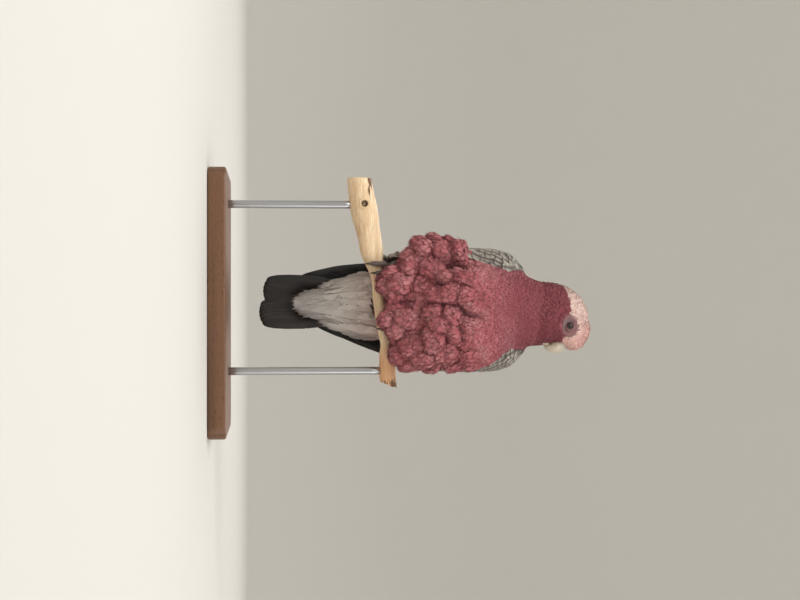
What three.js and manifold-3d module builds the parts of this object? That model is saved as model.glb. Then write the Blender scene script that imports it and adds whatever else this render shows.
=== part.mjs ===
// A life-size galah (Eolophus roseicapilla), gripping a short length of branch on a plain display stand.
// Millimetres, +Z up. The origin is the middle of the base's underside.
// The bird faces -Y and has its head turned to +X.
// The bird is built in the perch's frame: z = 0 is the perch's axis above the middle of the base.
import * as THREE from "three";
import { mergeVertices } from "three/addons/utils/BufferGeometryUtils.js";
import Module from "manifold-3d";

const wasm = await Module();
wasm.setup();
const { clamp, degToRad, radToDeg, smoothstep } = THREE.MathUtils;

// ---- Driving dimensions ----
const PERCH_HEIGHT = 171; // perch axis above the floor, so that the tail hangs clear of the base
const GAP = 0.3; // between solids that touch
const BASE = { length: 262, depth: 176, height: 18, corner: 14, chamfer: 2.5 };
const ROD = { radius: 4, stations: [-100, 69], socket: 6 };
const HEAD = { x: 16, y: -2, z: 184, turn: 82 }; // degrees from straight ahead towards the bird's left
const NAPE_CUT = { x: 10, z: 169, slope: -0.25 }; // the head ends at this plane
const NECK_BASE = 138; // and the neck ends at this height
const TAIL = { y: 28, z: 19, slant: 20, length: 154, lean: -1.5 }; // slant in degrees from straight down

// ---- Finishes ----
const finish = (color, roughness, metalness = 0) =>
  new THREE.MeshStandardMaterial({ color, roughness, metalness });
const FINISH = {
  rose: finish("#a3505c", 0.9),
  cap: finish("#d9b3ab", 0.9),
  grey: finish("#97918a", 0.85),
  slate: finish("#2e2e30", 0.7),
  covert: finish("#a9a298", 0.85),
  horn: finish("#cfc6b4", 0.45),
  eye: finish("#1c1413", 0.1),
  skin: finish("#5a4f4c", 0.7),
  claw: finish("#2a2624", 0.4),
  bark: finish("#c9a883", 0.8),
  wood: finish("#5b3b26", 0.5),
  steel: finish("#b8b8ba", 0.3, 1),
};

const part = new THREE.Group();
const bird = new THREE.Group();
bird.position.z = PERCH_HEIGHT;
part.add(bird);

const SIDES = [
  { side: "right", sign: -1 },
  { side: "left", sign: 1 },
];

// ---- Solids and meshes ----

function solidOf(geometry) {
  const bare = geometry.clone();
  bare.deleteAttribute("normal");
  bare.deleteAttribute("uv");
  const merged = mergeVertices(bare, 1e-4);
  return new wasm.Manifold(
    new wasm.Mesh({
      numProp: 3,
      vertProperties: new Float32Array(merged.attributes.position.array),
      triVerts: new Uint32Array(merged.index.array),
    }),
  );
}

function geometryOf(solid) {
  const mesh = solid.getMesh();
  const geometry = new THREE.BufferGeometry();
  geometry.setAttribute("position", new THREE.BufferAttribute(mesh.vertProperties, 3));
  geometry.setIndex(new THREE.BufferAttribute(mesh.triVerts, 1));
  geometry.computeVertexNormals();
  return geometry;
}

// Small islands that a cut leaves are dropped.
function largest(solid) {
  return solid.decompose().reduce((a, b) => (b.volume() > a.volume() ? b : a));
}

function place(name, solid, material, group = bird) {
  const mesh = new THREE.Mesh(geometryOf(largest(solid)), material);
  mesh.name = name;
  group.add(mesh);
}

const without = (solid, ...cutters) => cutters.reduce((left, cutter) => left.subtract(cutter), solid);
const joined = (solids) => solids.reduce((all, solid) => all.add(solid));

// The solid of these faces, turned the right way round.
function closed(positions, index) {
  const geometry = new THREE.BufferGeometry();
  geometry.setAttribute("position", new THREE.Float32BufferAttribute(positions, 3));
  geometry.setIndex(index);
  const solid = solidOf(geometry);
  if (solid.volume() > 0) return solid;
  for (let i = 0; i < index.length; i += 3) [index[i + 1], index[i + 2]] = [index[i + 2], index[i + 1]];
  geometry.setIndex(index);
  return solidOf(geometry);
}

// A closed shell over a grid: point(u, v, face) with u and v from 0 to 1, face +1 outside and -1 inside.
function shell(columns, rows, point) {
  const positions = [];
  for (const face of [1, -1])
    for (let j = 0; j <= rows; j++)
      for (let i = 0; i <= columns; i++) positions.push(...point(i / columns, j / rows, face).toArray());
  const at = (i, j, face) => (face > 0 ? 0 : (columns + 1) * (rows + 1)) + j * (columns + 1) + i;
  const index = [];
  const quad = (a, b, c, d) => index.push(a, b, c, a, c, d);
  for (let j = 0; j < rows; j++)
    for (let i = 0; i < columns; i++) {
      quad(at(i, j, 1), at(i + 1, j, 1), at(i + 1, j + 1, 1), at(i, j + 1, 1));
      quad(at(i, j, -1), at(i, j + 1, -1), at(i + 1, j + 1, -1), at(i + 1, j, -1));
    }
  for (let i = 0; i < columns; i++) {
    quad(at(i, 0, -1), at(i + 1, 0, -1), at(i + 1, 0, 1), at(i, 0, 1));
    quad(at(i, rows, 1), at(i + 1, rows, 1), at(i + 1, rows, -1), at(i, rows, -1));
  }
  for (let j = 0; j < rows; j++) {
    quad(at(0, j, 1), at(0, j + 1, 1), at(0, j + 1, -1), at(0, j, -1));
    quad(at(columns, j, -1), at(columns, j + 1, -1), at(columns, j + 1, 1), at(columns, j, 1));
  }
  return closed(positions, index);
}

// A closed tube of rings: ring(s, angle) with s from 0 to 1 along it, and a fan at each end.
function tube(sides, steps, ring, centre) {
  const positions = [];
  for (let j = 0; j <= steps; j++)
    for (let i = 0; i < sides; i++) positions.push(...ring(j / steps, (i / sides) * 2 * Math.PI).toArray());
  const first = positions.length / 3;
  positions.push(...centre(0).toArray(), ...centre(1).toArray());
  const at = (i, j) => j * sides + (i % sides);
  const index = [];
  for (let j = 0; j < steps; j++)
    for (let i = 0; i < sides; i++)
      index.push(at(i, j), at(i + 1, j), at(i + 1, j + 1), at(i, j), at(i + 1, j + 1), at(i, j + 1));
  for (let i = 0; i < sides; i++) {
    index.push(first, at(i + 1, 0), at(i, 0));
    index.push(first + 1, at(i, steps), at(i + 1, steps));
  }
  return closed(positions, index);
}

// Smooth interpolation of a table of stations by its first value.
function station(rows, value) {
  let k = 0;
  while (k < rows.length - 2 && value > rows[k + 1][0]) k++;
  const span = rows[k + 1][0] - rows[k][0];
  const t = clamp((value - rows[k][0]) / span, 0, 1);
  const slopeAt = (n, c) => {
    const before = rows[Math.max(n - 1, 0)];
    const after = rows[Math.min(n + 1, rows.length - 1)];
    return (after[c] - before[c]) / (after[0] - before[0]);
  };
  return rows[k].map((from, c) => {
    const step = (rows[k + 1][c] - from) * t * t * (3 - 2 * t);
    const out = (t * t * t - 2 * t * t + t) * span * slopeAt(k, c);
    const into = (t * t * t - t * t) * span * slopeAt(k + 1, c);
    return c === 0 ? value : from + step + out + into;
  });
}

// ---- Flesh and plumage: rounded masses that blend into each other ----

// Each mass is an ellipsoid: its centre, its half-sizes, and how softly it blends into those before it.
const BODY_MASSES = [
  { name: "core", at: [5, 4, 84], size: [54, 44, 76], blend: 0 },
  { name: "shoulders", at: [7, 6, 124], size: [50, 37, 33], blend: 14 },
  { name: "neck", at: [8.5, 1, 160], size: [31, 29, 38], blend: 13 },
  { name: "rump", at: [3, 30, 26], size: [33, 20, 36], blend: 10 },
  { name: "right breast", at: [-12, -26, 94], size: [32, 31, 40], blend: 9 },
  { name: "left breast", at: [38, -22, 92], size: [32, 31, 40], blend: 8 },
  { name: "breast tongue", at: [-5, -44, 60], size: [14, 14, 26], blend: 8 },
  { name: "right breast skirt", at: [-27, -40, 72], size: [15, 14, 19], blend: 8 },
  { name: "left breast fold", at: [20, -40, 58], size: [20, 17, 18], blend: 8 },
  { name: "left side fold", at: [48, -26, 56], size: [23, 23, 22], blend: 7 },
  { name: "left flank", at: [51, -14, 30], size: [20, 22, 24], blend: 8 },
  { name: "left belly", at: [18, -25, 22], size: [20, 17, 26], blend: 7 },
  { name: "right belly", at: [-19, -23, 20], size: [19, 17, 26], blend: 7 },
  { name: "right under flank", at: [-36, -16, 40], size: [17, 20, 24], blend: 7 },
  { name: "right flank top", at: [-52, -14, 77], size: [17, 21, 16], blend: 6 },
  { name: "right flank", at: [-53, -15, 49], size: [18, 23, 23], blend: 7 },
];
// Partings where the ruffled plumage opens: straight grooves from one point to another.
const PARTINGS = [
  { name: "breast", from: [17, -60, 99], to: [5, -68, 72], radius: 5 },
  { name: "breast foot", from: [5, -64, 72], to: [0, -58, 44], radius: 6 },
  { name: "belly", from: [-1, -46, 40], to: [-2, -44, 10], radius: 6 },
  { name: "under breast", from: [-20, -60, 62], to: [-21, -54, 50], radius: 7 },
  { name: "right flank", from: [-41, -42, 86], to: [-39, -42, 62], radius: 6 },
  { name: "left fold", from: [24, -62, 71], to: [62, -40, 65], radius: 4 },
];
const PARTING_BLEND = 8;
// The head's masses are in the head's own frame: +X to the bill, +Y to its left.
const HEAD_MASSES = [
  { name: "skull", at: [-4, 0, -4], size: [29, 24, 31], blend: 12 },
  { name: "forehead", at: [17, 0, 11], size: [16.5, 15, 15], blend: 8 },
  { name: "crown", at: [3, 0, 17], size: [22, 15, 14.5], blend: 8 },
  { name: "right cheek", at: [7, -11, -10], size: [16, 14, 17], blend: 7 },
  { name: "left cheek", at: [7, 11, -10], size: [16, 14, 17], blend: 7 },
  { name: "throat", at: [1, 0, -26], size: [22, 21, 16], blend: 10 },
];

const headFrame = new THREE.Matrix4()
  .makeTranslation(HEAD.x, HEAD.y, HEAD.z)
  .multiply(new THREE.Matrix4().makeRotationZ(degToRad(HEAD.turn - 90)));
const intoHead = headFrame.clone().invert();

function ellipsoid(p, mass) {
  const [x, y, z] = [p.x - mass.at[0], p.y - mass.at[1], p.z - mass.at[2]];
  const [a, b, c] = mass.size;
  const near = Math.hypot(x / a, y / b, z / c);
  const slope = Math.hypot(x / (a * a), y / (b * b), z / (c * c));
  return slope < 1e-9 ? -Math.min(a, b, c) : (near * (near - 1)) / slope;
}

function blended(a, b, width) {
  const h = Math.max(width - Math.abs(a - b), 0) / Math.max(width, 1e-6);
  return Math.min(a, b) - (h * h * width) / 4;
}

function groove(p, parting) {
  const from = new THREE.Vector3(...parting.from);
  const along = new THREE.Vector3(...parting.to).sub(from);
  const t = clamp(p.clone().sub(from).dot(along) / along.lengthSq(), 0, 1);
  return from.addScaledVector(along, t).distanceTo(p) - parting.radius;
}

// Distance to the plumage's outer surface, below zero inside.
function plumage(p) {
  let distance = 1e3;
  for (const mass of BODY_MASSES) distance = blended(distance, ellipsoid(p, mass), mass.blend);
  const q = p.clone().applyMatrix4(intoHead);
  let head = 1e3;
  for (const mass of HEAD_MASSES) head = blended(head, ellipsoid(q, mass), mass.blend);
  distance = blended(distance, head, 12);
  for (const parting of PARTINGS) distance = -blended(-distance, groove(p, parting), PARTING_BLEND);
  return distance;
}

// Each value drawn half-way to the mean of its neighbours on a closed mesh.
function softened(values, index) {
  const sums = values.map(() => 0);
  const counts = values.map(() => 0);
  for (let i = 0; i < index.length; i += 3)
    for (let k = 0; k < 3; k++) {
      sums[index[i + k]] += values[index[i + ((k + 1) % 3)]];
      counts[index[i + k]] += 1;
    }
  return values.map((value, n) => (value + sums[n] / counts[n]) / 2);
}

// The outermost surface of the field as seen from a centre inside it: a fine icosahedron, stretched to the
// shape's proportions, whose vertices are each drawn along their own ray on to the surface.
function surfaceOf(field, centre, proportions, detail) {
  const stretch = new THREE.Vector3(...proportions);
  const middle = new THREE.Vector3(...centre);
  const ball = new THREE.IcosahedronGeometry(1, detail);
  ball.deleteAttribute("normal");
  ball.deleteAttribute("uv");
  const geometry = mergeVertices(ball, 1e-5);
  const corners = geometry.attributes.position;
  const index = [...geometry.index.array];
  const rays = Array.from({ length: corners.count }, (_, n) =>
    new THREE.Vector3().fromBufferAttribute(corners, n).multiply(stretch),
  );
  const spot = (ray, reach) => middle.clone().addScaledVector(ray, reach);
  const reaches = rays.map((ray) => {
    let inner = 2.2;
    while (inner > 0.1 && field(spot(ray, inner)) > 0)
      inner -= Math.max(field(spot(ray, inner)) * 0.5, 0.6) / ray.length();
    let outer = inner + 1.5 / ray.length();
    for (let k = 0; k < 12; k++) {
      const half = (inner + outer) / 2;
      if (field(spot(ray, half)) > 0) outer = half;
      else inner = half;
    }
    return inner;
  });
  const even = softened(reaches, index);
  return closed(rays.flatMap((ray, n) => spot(ray, even[n]).toArray()), index);
}

// A slab of space below (or above) a plane that slopes along X.
function halfSpace(x, z, slope, above) {
  const size = 400;
  const block = new THREE.BoxGeometry(size, size, size);
  block.translate(0, 0, above ? size / 2 : -size / 2);
  block.rotateY(-Math.atan(slope));
  block.translate(x, 0, z);
  return solidOf(block);
}

// ---- Wings: curved blades that wrap the body's sides and back ----

// Height, the wing's centre x and y, half-width on the right and on the left, half-depth, the angles of the
// front and the back edge (0 at the side, 90 at the back), and thickness.
const WING_STATIONS = [
  [0, 2, 14, 45, 48.5, 40, 3, 80, 4.5],
  [30, 4, 7, 53, 57, 45, -8, 80, 6],
  [60, 6, 3, 56.5, 60, 47, -28, 76, 7],
  [95, 7, 1, 59, 60, 46, -40, 68, 8],
  [122, 7, 2, 58, 58.5, 42, -44, 60, 9],
  [140, 7, 4, 51, 52, 35, -32, 52, 8],
  [151, 7, 6, 41, 42, 29, -8, 36, 5],
];
// Primaries: the wing's tip. The right one ends along the tail's edge, the left one is tucked behind it.
const PRIMARY_STATIONS = {
  right: [
    [-79, 0, 62, 30.5, 12, 4, 44, 2.2],
    [-64, 0, 54, 32.3, 13, 0, 64, 2.5],
    [-50, 0, 46, 35.3, 15, -4, 74, 2.8],
    [-35, 0, 37, 38.4, 20, -2, 74, 3],
    [-16, 0, 26, 40.5, 28, 4, 76, 3.4],
    [-0.3, 2, 14, 45, 40, 3, 80, 4],
  ],
  left: [
    [-70, 0, 64, 21, 12, 4, 44, 2.2],
    [-56, 0, 56, 26.5, 14, 0, 66, 2.5],
    [-43, 0, 46, 32.4, 17, -4, 74, 2.8],
    [-28, 0, 35, 38, 22, 0, 74, 3.1],
    [-16, 0, 27, 44, 28, 4, 76, 3.4],
    [-0.3, 2, 14, 48.5, 40, 3, 80, 4],
  ],
};

function wingBlade(stations, sign, columns, rows, grow = 0) {
  const low = stations[0][0];
  const high = stations[stations.length - 1][0];
  return shell(columns, rows, (u, v, face) => {
    const height = low + (high - low) * v;
    const [, x, y, width, depth, front, back, thickness] = station(stations, height);
    const margin = radToDeg(grow / width);
    const angle = degToRad(front - margin + (back - front + 2 * margin) * u);
    const rounded = 1 - 0.75 * Math.abs(2 * u - 1) ** 4;
    const offset = face * ((thickness * rounded) / 2 + grow);
    return new THREE.Vector3(
      x + sign * (width + offset) * Math.cos(angle),
      y + (depth + offset) * Math.sin(angle),
      height + grow * (2 * v - 1),
    );
  });
}

const wingCuts = [];
for (const { side, sign } of SIDES) {
  const stations = WING_STATIONS.map(([height, x, y, right, left, ...rest]) => {
    const width = sign < 0 ? right : left;
    return [height, x, y, width, ...rest];
  });
  wingCuts.push(wingBlade(stations, sign, 8, 9, GAP));
  place(`${side}_wing`, wingBlade(stations, sign, 8, 9), FINISH.grey);
  place(`${side}_primaries`, wingBlade(PRIMARY_STATIONS[side], sign, 6, 6), FINISH.slate);
}

// ---- Tail, and the long soft coverts under it ----

const slant = degToRad(TAIL.slant);
const tailwards = new THREE.Vector3(0, Math.sin(slant), -Math.cos(slant));
const backwards = new THREE.Vector3(0, Math.cos(slant), Math.sin(slant));

// A feathered blade along the tail: t from -1 to 1 across, and a distance along from its root.
function tailBlade({ root, length, halfWidth, thickness, camber, lean, columns, rows }, grow = 0) {
  return shell(columns, rows, (u, v, face) => {
    const t = 2 * u - 1;
    const along = length(t) * v + grow * (2 * v - 1);
    const thin = 1 - 0.6 * Math.abs(t) ** 6;
    return root
      .clone()
      .addScaledVector(tailwards, along)
      .addScaledVector(backwards, camber(t, along) + face * ((thickness(along) * thin) / 2 + grow))
      .add(new THREE.Vector3(t * (halfWidth(along) + grow) + (lean * along) / length(0), 0, 0));
  });
}

// Two stacks of rounded feather tips with a shallow notch between them; the right stack is a little shorter.
const TAIL_END = { notch: 5, corner: 19, rightShorter: 4.5 };
const tailShape = {
  root: new THREE.Vector3(0, TAIL.y, TAIL.z),
  length: (t) => {
    const fromMiddle = (Math.abs(t) - 0.5) / 0.5;
    const cut = fromMiddle < 0 ? TAIL_END.notch * fromMiddle ** 2 : TAIL_END.corner * fromMiddle ** 2.5;
    return TAIL.length - cut - TAIL_END.rightShorter * smoothstep(-t, -0.2, 0.2);
  },
  halfWidth: (along) => 17 + 12 * smoothstep(along, 0, 110),
  thickness: (along) => 7 - 4.4 * smoothstep(along, 0, 120),
  camber: (t, along) => -5 * t * t * (0.5 + (0.5 * along) / TAIL.length),
  lean: TAIL.lean,
  columns: 12,
  rows: 6,
};
const tailCut = tailBlade(tailShape, GAP);
place("tail", tailBlade(tailShape), FINISH.slate);

// A long middle lobe between two shorter ones. Lengths run from the coverts' root.
const COVERTS = { middle: 108.5, side: 86, lobe: 0.65, rootWidth: 34, tipWidth: 21 };
const covertShape = {
  root: new THREE.Vector3(3.5, 19, 12),
  length: (t) => {
    const out = Math.abs(t);
    const sideLobe = COVERTS.side - 9 * ((out - 0.8) / 0.2) ** 2;
    return out < COVERTS.lobe ? COVERTS.middle - 9 * (out / COVERTS.lobe) ** 3 : sideLobe;
  },
  halfWidth: (along) => {
    const narrowing = COVERTS.rootWidth - COVERTS.tipWidth;
    return COVERTS.rootWidth - narrowing * smoothstep(along, 20, 92);
  },
  thickness: (along) => 9 - 6.5 * smoothstep(along, 0, 95),
  camber: (t, along) => 2 * t * t * (1 - along / 130) + 0.05 * along,
  lean: -3,
  columns: 16,
  rows: 7,
};

// ---- Bill, in the head's frame: a hooked upper half over a short scoop ----

// An arc of rings about a centre in the head's own x-z plane. Each ring has its share along the arc, its
// half-depth towards the centre and away from it, and its half-width.
function arcTube({ x, z, radius, from, to, rings, sides, steps }) {
  const outwards = (s) => {
    const angle = degToRad(from + (to - from) * s);
    return new THREE.Vector3(Math.cos(angle), 0, Math.sin(angle));
  };
  const centre = (s) => outwards(s).multiplyScalar(radius).add(new THREE.Vector3(x, 0, z));
  const ring = (s, angle) => {
    const [, inner, outer, width] = station(rings, s);
    const high = Math.sin(angle);
    return centre(s)
      .addScaledVector(outwards(s), high * (high > 0 ? outer : inner))
      .add(new THREE.Vector3(0, Math.cos(angle) * width, 0));
  };
  return tube(sides, steps, ring, centre).transform(headFrame.toArray());
}

// The same arc a gap larger all round.
const grownArc = (shape) => ({
  ...shape,
  from: shape.from - Math.sign(shape.to - shape.from) * 2,
  to: shape.to + Math.sign(shape.to - shape.from) * 2,
  rings: shape.rings.map(([s, ...sizes]) => [s, ...sizes.map((size) => size + GAP)]),
});

const UPPER_BILL = {
  x: 17.5,
  z: -8,
  radius: 12,
  from: 88,
  to: -36,
  rings: [
    [0, 8, 8, 9.2],
    [0.35, 8, 7.4, 8.8],
    [0.65, 5.5, 6, 6.4],
    [0.88, 2.6, 3.6, 3.2],
    [1, 0.6, 0.8, 0.8],
  ],
  sides: 10,
  steps: 8,
};
const LOWER_BILL = {
  x: 18,
  z: -6,
  radius: 10,
  from: -110,
  to: -26,
  rings: [
    [0, 4, 4, 7.8],
    [0.5, 3.8, 4, 7.4],
    [0.85, 2.2, 2.6, 5.4],
    [1, 0.7, 0.8, 2.6],
  ],
  sides: 10,
  steps: 5,
};
const billCuts = [arcTube(grownArc(UPPER_BILL)), arcTube(grownArc(LOWER_BILL))];

// ---- Head and eyes ----

const EYE = { x: 10.6, y: 17.8, z: 7.7, radius: 5.4 };
const eyeball = (sign, grow = 0) =>
  solidOf(new THREE.SphereGeometry(EYE.radius + grow, 10, 7))
    .translate([EYE.x, sign * EYE.y, EYE.z])
    .transform(headFrame.toArray());

const aboveNape = halfSpace(NAPE_CUT.x, NAPE_CUT.z, NAPE_CUT.slope, true);
const headFlesh = surfaceOf(plumage, [15, -1, 176], [34, 28, 34], 5).intersect(aboveNape);
place("head", without(headFlesh, ...billCuts, ...SIDES.map(({ sign }) => eyeball(sign, GAP))), FINISH.cap);
place("upper_bill", arcTube(UPPER_BILL), FINISH.horn);
place("lower_bill", arcTube(LOWER_BILL).subtract(billCuts[0]), FINISH.horn);
for (const { side, sign } of SIDES) place(`${side}_eye`, eyeball(sign), FINISH.eye);

// ---- Perch: a stripped length of branch, thick at the bird's right, thin between the feet ----

// Along x, the axis's height and the branch's radius.
const PERCH_STATIONS = [
  [-127, -21, 12.3],
  [-105, -17.2, 13.2],
  [-88, -14.6, 13.6],
  [-64, -10, 12],
  [-52, -8.4, 11.6],
  [-42, -6.6, 9.4],
  [-28, -2.6, 6.8],
  [-3, -0.4, 6.2],
  [17, 2.4, 6.2],
  [34, 5, 6.2],
  [43, 7.2, 6.6],
  [51, 7.6, 8],
  [68, 7.8, 8.2],
  [83, 9, 8.6],
];
const PERCH = { left: -127, right: 83, ridges: 0.024, flats: 0.016, breakSlant: 3.4 };
const KNOT_HOLE = { x: -100.5, y: -13, z: -16, radius: 2.6, depth: 8 };

const perchAxis = (x) => station(PERCH_STATIONS, x)[1];
const perchRadius = (x) => station(PERCH_STATIONS, x)[2];
function perchSolid(grow = 0) {
  const along = (s) => PERCH.left + (PERCH.right - PERCH.left) * s;
  const centre = (s) => new THREE.Vector3(along(s), 0, perchAxis(along(s)));
  const ring = (s, angle) => {
    const ridges = PERCH.ridges * Math.sin(3 * angle + along(s) / 16);
    const flats = PERCH.flats * Math.sin(2 * angle - along(s) / 9);
    const r = perchRadius(along(s)) * (1 + ridges + flats) + grow;
    const broken = PERCH.breakSlant * Math.sin(angle) * smoothstep(s, 0.93, 1);
    return centre(s).add(new THREE.Vector3(broken, r * Math.cos(angle), r * Math.sin(angle)));
  };
  return tube(12, 16, ring, centre);
}
const perchCut = perchSolid(GAP);

// ---- Legs and feet: two toes over the front of the perch and two behind ----

const FOOT_STATIONS = { right: -34.5, left: 21 };
const TARSUS = { radius: 4.4, height: 30, lift: 5.5, backwards: 7, inwards: 1.5 };
// Each toe leaves the foot sideways by spread, then runs round the perch through reach degrees.
const TOES = [
  { name: "outer_front", spread: -5.2, reach: 112, way: -1 },
  { name: "inner_front", spread: 4.2, reach: 100, way: -1 },
  { name: "outer_back", spread: -5, reach: 96, way: 1 },
  { name: "inner_back", spread: 3.6, reach: 78, way: 1 },
];
const TOE = { root: 3.4, tip: 2.1, swell: 0.1 };
const CLAW = { reach: 42, root: 1.7, tip: 0.45, arch: 1.2 };

// A point above the perch's surface, at an angle round it from the front (0) over the top (90).
function onPerch(x, angle, lift) {
  const a = degToRad(angle);
  const r = perchRadius(x) * (1 + PERCH.ridges + PERCH.flats) + lift;
  return new THREE.Vector3(x, -r * Math.cos(a), perchAxis(x) + r * Math.sin(a));
}

// A tapering tube along the perch's curve from one angle to another, its radius grown by grow all round.
function digit({ x, start, end, lift, radius, sides, steps }, grow = 0) {
  const margin = Math.sign(end - start) * radToDeg(grow / 10);
  const centre = (s) => onPerch(x(s), start - margin + (end - start + 2 * margin) * s, lift(s));
  const across = new THREE.Vector3(1, 0, 0);
  const ring = (s, angle) => {
    const outwards = centre(s).sub(new THREE.Vector3(x(s), 0, perchAxis(x(s)))).normalize();
    return centre(s)
      .addScaledVector(across, (radius(s) + grow) * Math.cos(angle))
      .addScaledVector(outwards, (radius(s) + grow) * Math.sin(angle));
  };
  return tube(sides, steps, ring, centre);
}

// Pads and joints swell the toe twice along its length.
const toeRadius = (s) => {
  const taper = TOE.root + (TOE.tip - TOE.root) * s ** 1.3;
  const rounding = s > 0.99 || s < 0.01 ? 0.7 : 1;
  return taper * (1 + TOE.swell * Math.sin(s * 3 * Math.PI)) * rounding;
};

function tarsusTube(footX, inwards, grow = 0) {
  const ankle = new THREE.Vector3(footX, 2, perchAxis(footX) + perchRadius(footX) + TARSUS.lift);
  const shin = new THREE.Vector3(inwards * TARSUS.inwards, TARSUS.backwards, TARSUS.height);
  const knee = ankle.clone().add(shin);
  const centre = (s) => ankle.clone().lerp(knee, s).add(new THREE.Vector3(0, 0, grow * (2 * s - 1)));
  const ring = (s, angle) => {
    const r = TARSUS.radius + grow;
    return centre(s).add(new THREE.Vector3(r * Math.cos(angle), r * Math.sin(angle), 0));
  };
  return tube(10, 2, ring, centre);
}

const legCuts = [];
for (const { side, sign } of SIDES) {
  const footX = FOOT_STATIONS[side];
  const toes = TOES.map((toe) => ({
    x: (s) => footX - sign * toe.spread * Math.min(1, 0.35 + 1.6 * s),
    start: 90 + toe.way * 4,
    end: 90 + toe.way * toe.reach,
    lift: () => 2 * GAP + TOE.root,
    radius: toeRadius,
    sides: 7,
    steps: 6,
  }));
  const claws = toes.map((toe, n) => ({
    ...toe,
    x: () => toe.x(1),
    start: toe.end + TOES[n].way * 3,
    end: toe.end + TOES[n].way * CLAW.reach,
    lift: (s) => 2 * GAP + TOE.tip - 0.2 + CLAW.arch * Math.sin(Math.PI * s) - 1.2 * s,
    radius: (s) => CLAW.root + (CLAW.tip - CLAW.root) * s,
    sides: 5,
    steps: 3,
  }));
  const leg = (grow) => joined([tarsusTube(footX, -sign, grow), ...toes.map((toe) => digit(toe, grow))]);
  place(`${side}_leg`, leg(0), FINISH.skin);
  claws.forEach((claw, n) => place(`${side}_claw_${TOES[n].name}`, digit(claw), FINISH.claw));
  legCuts.push(leg(GAP), ...claws.map((claw) => digit(claw, GAP)));
}

// ---- Trunk and neck, cut round the wings, tail, legs and perch ----

const flesh = surfaceOf(plumage, [5, 2, 78], [60, 52, 92], 8);
const trunk = flesh.intersect(halfSpace(0, NECK_BASE, 0, false));
const belowNape = halfSpace(NAPE_CUT.x, NAPE_CUT.z - GAP, NAPE_CUT.slope, false);
const neck = flesh.intersect(belowNape).intersect(halfSpace(0, NECK_BASE + GAP, 0, true));
const rearCuts = [tailCut, tailBlade(covertShape, GAP), perchCut, ...legCuts];
place("trunk", without(trunk, ...wingCuts, ...rearCuts), FINISH.rose);
place("neck", without(neck, ...wingCuts, ...billCuts), FINISH.rose);
place("undertail_coverts", without(tailBlade(covertShape), tailCut, ...legCuts), FINISH.covert);

// ---- Display stand ----

function baseBlock() {
  const [x, y] = [BASE.length / 2 - BASE.chamfer, BASE.depth / 2 - BASE.chamfer];
  const r = BASE.corner - BASE.chamfer;
  const outline = new THREE.Shape();
  outline.absarc(x - r, -y + r, r, -Math.PI / 2, 0);
  outline.absarc(x - r, y - r, r, 0, Math.PI / 2);
  outline.absarc(-x + r, y - r, r, Math.PI / 2, Math.PI);
  outline.absarc(-x + r, -y + r, r, Math.PI, 1.5 * Math.PI);
  const block = new THREE.ExtrudeGeometry(outline, {
    depth: BASE.height - 2 * BASE.chamfer,
    bevelSize: BASE.chamfer,
    bevelThickness: BASE.chamfer,
    bevelSegments: 1,
    curveSegments: 4,
  });
  return solidOf(block.translate(0, 0, BASE.chamfer));
}

const rods = ROD.stations.map((x) => {
  const top = PERCH_HEIGHT + perchAxis(x) - perchRadius(x) + ROD.socket;
  const bottom = BASE.height - ROD.socket;
  return (grow) => {
    const rod = new THREE.CylinderGeometry(ROD.radius + grow, ROD.radius + grow, top - bottom + 2 * grow, 16);
    return solidOf(rod.rotateX(Math.PI / 2)).translate([x, 0, (top + bottom) / 2]);
  };
});
const rodCuts = rods.map((rod) => rod(GAP));
const knotHole = new THREE.CylinderGeometry(KNOT_HOLE.radius, KNOT_HOLE.radius, KNOT_HOLE.depth, 10);
const knotCut = solidOf(knotHole).translate([KNOT_HOLE.x, KNOT_HOLE.y, KNOT_HOLE.z]);
const perchSockets = rodCuts.map((cut) => cut.translate([0, 0, -PERCH_HEIGHT]));

rods.forEach((rod, n) => place(`stand_rod_${n + 1}`, rod(0), FINISH.steel, part));
place("stand_base", without(baseBlock(), ...rodCuts), FINISH.wood, part);
place("perch", without(perchSolid(), knotCut, ...perchSockets), FINISH.bark);

export default part;
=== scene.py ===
import math

import bmesh
import bpy
import numpy as np
from mathutils import Matrix, Vector, noise
from mathutils.bvhtree import BVHTree


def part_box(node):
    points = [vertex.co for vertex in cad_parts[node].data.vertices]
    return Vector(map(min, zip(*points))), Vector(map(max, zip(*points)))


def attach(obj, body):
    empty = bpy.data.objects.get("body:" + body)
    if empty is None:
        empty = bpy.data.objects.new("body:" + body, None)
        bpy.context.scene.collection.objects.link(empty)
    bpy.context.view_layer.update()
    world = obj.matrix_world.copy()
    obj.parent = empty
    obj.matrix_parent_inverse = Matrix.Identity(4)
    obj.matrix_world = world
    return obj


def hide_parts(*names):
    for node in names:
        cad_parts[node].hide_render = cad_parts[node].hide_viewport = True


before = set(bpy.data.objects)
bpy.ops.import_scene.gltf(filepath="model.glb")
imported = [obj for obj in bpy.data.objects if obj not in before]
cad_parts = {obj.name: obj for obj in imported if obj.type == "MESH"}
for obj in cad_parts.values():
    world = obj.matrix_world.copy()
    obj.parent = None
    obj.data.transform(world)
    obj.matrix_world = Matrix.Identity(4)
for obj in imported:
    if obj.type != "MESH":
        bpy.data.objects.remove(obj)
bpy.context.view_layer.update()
MM = 0.001

# ---- Stand base ----
# A board of oiled walnut with rounded corners and a broken edge, cut on a router and rubbed down with oil.
BASE = {"length": 262, "depth": 176, "height": 18, "corner": 14, "edge": 2.5}


def linear(code):
    """An sRGB hex colour as the linear RGBA that a shader takes."""
    channels = [int(code[i : i + 2], 16) / 255 for i in (1, 3, 5)]
    return [c / 12.92 if c <= 0.04045 else ((c + 0.055) / 1.055) ** 2.4 for c in channels] + [1]


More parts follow.
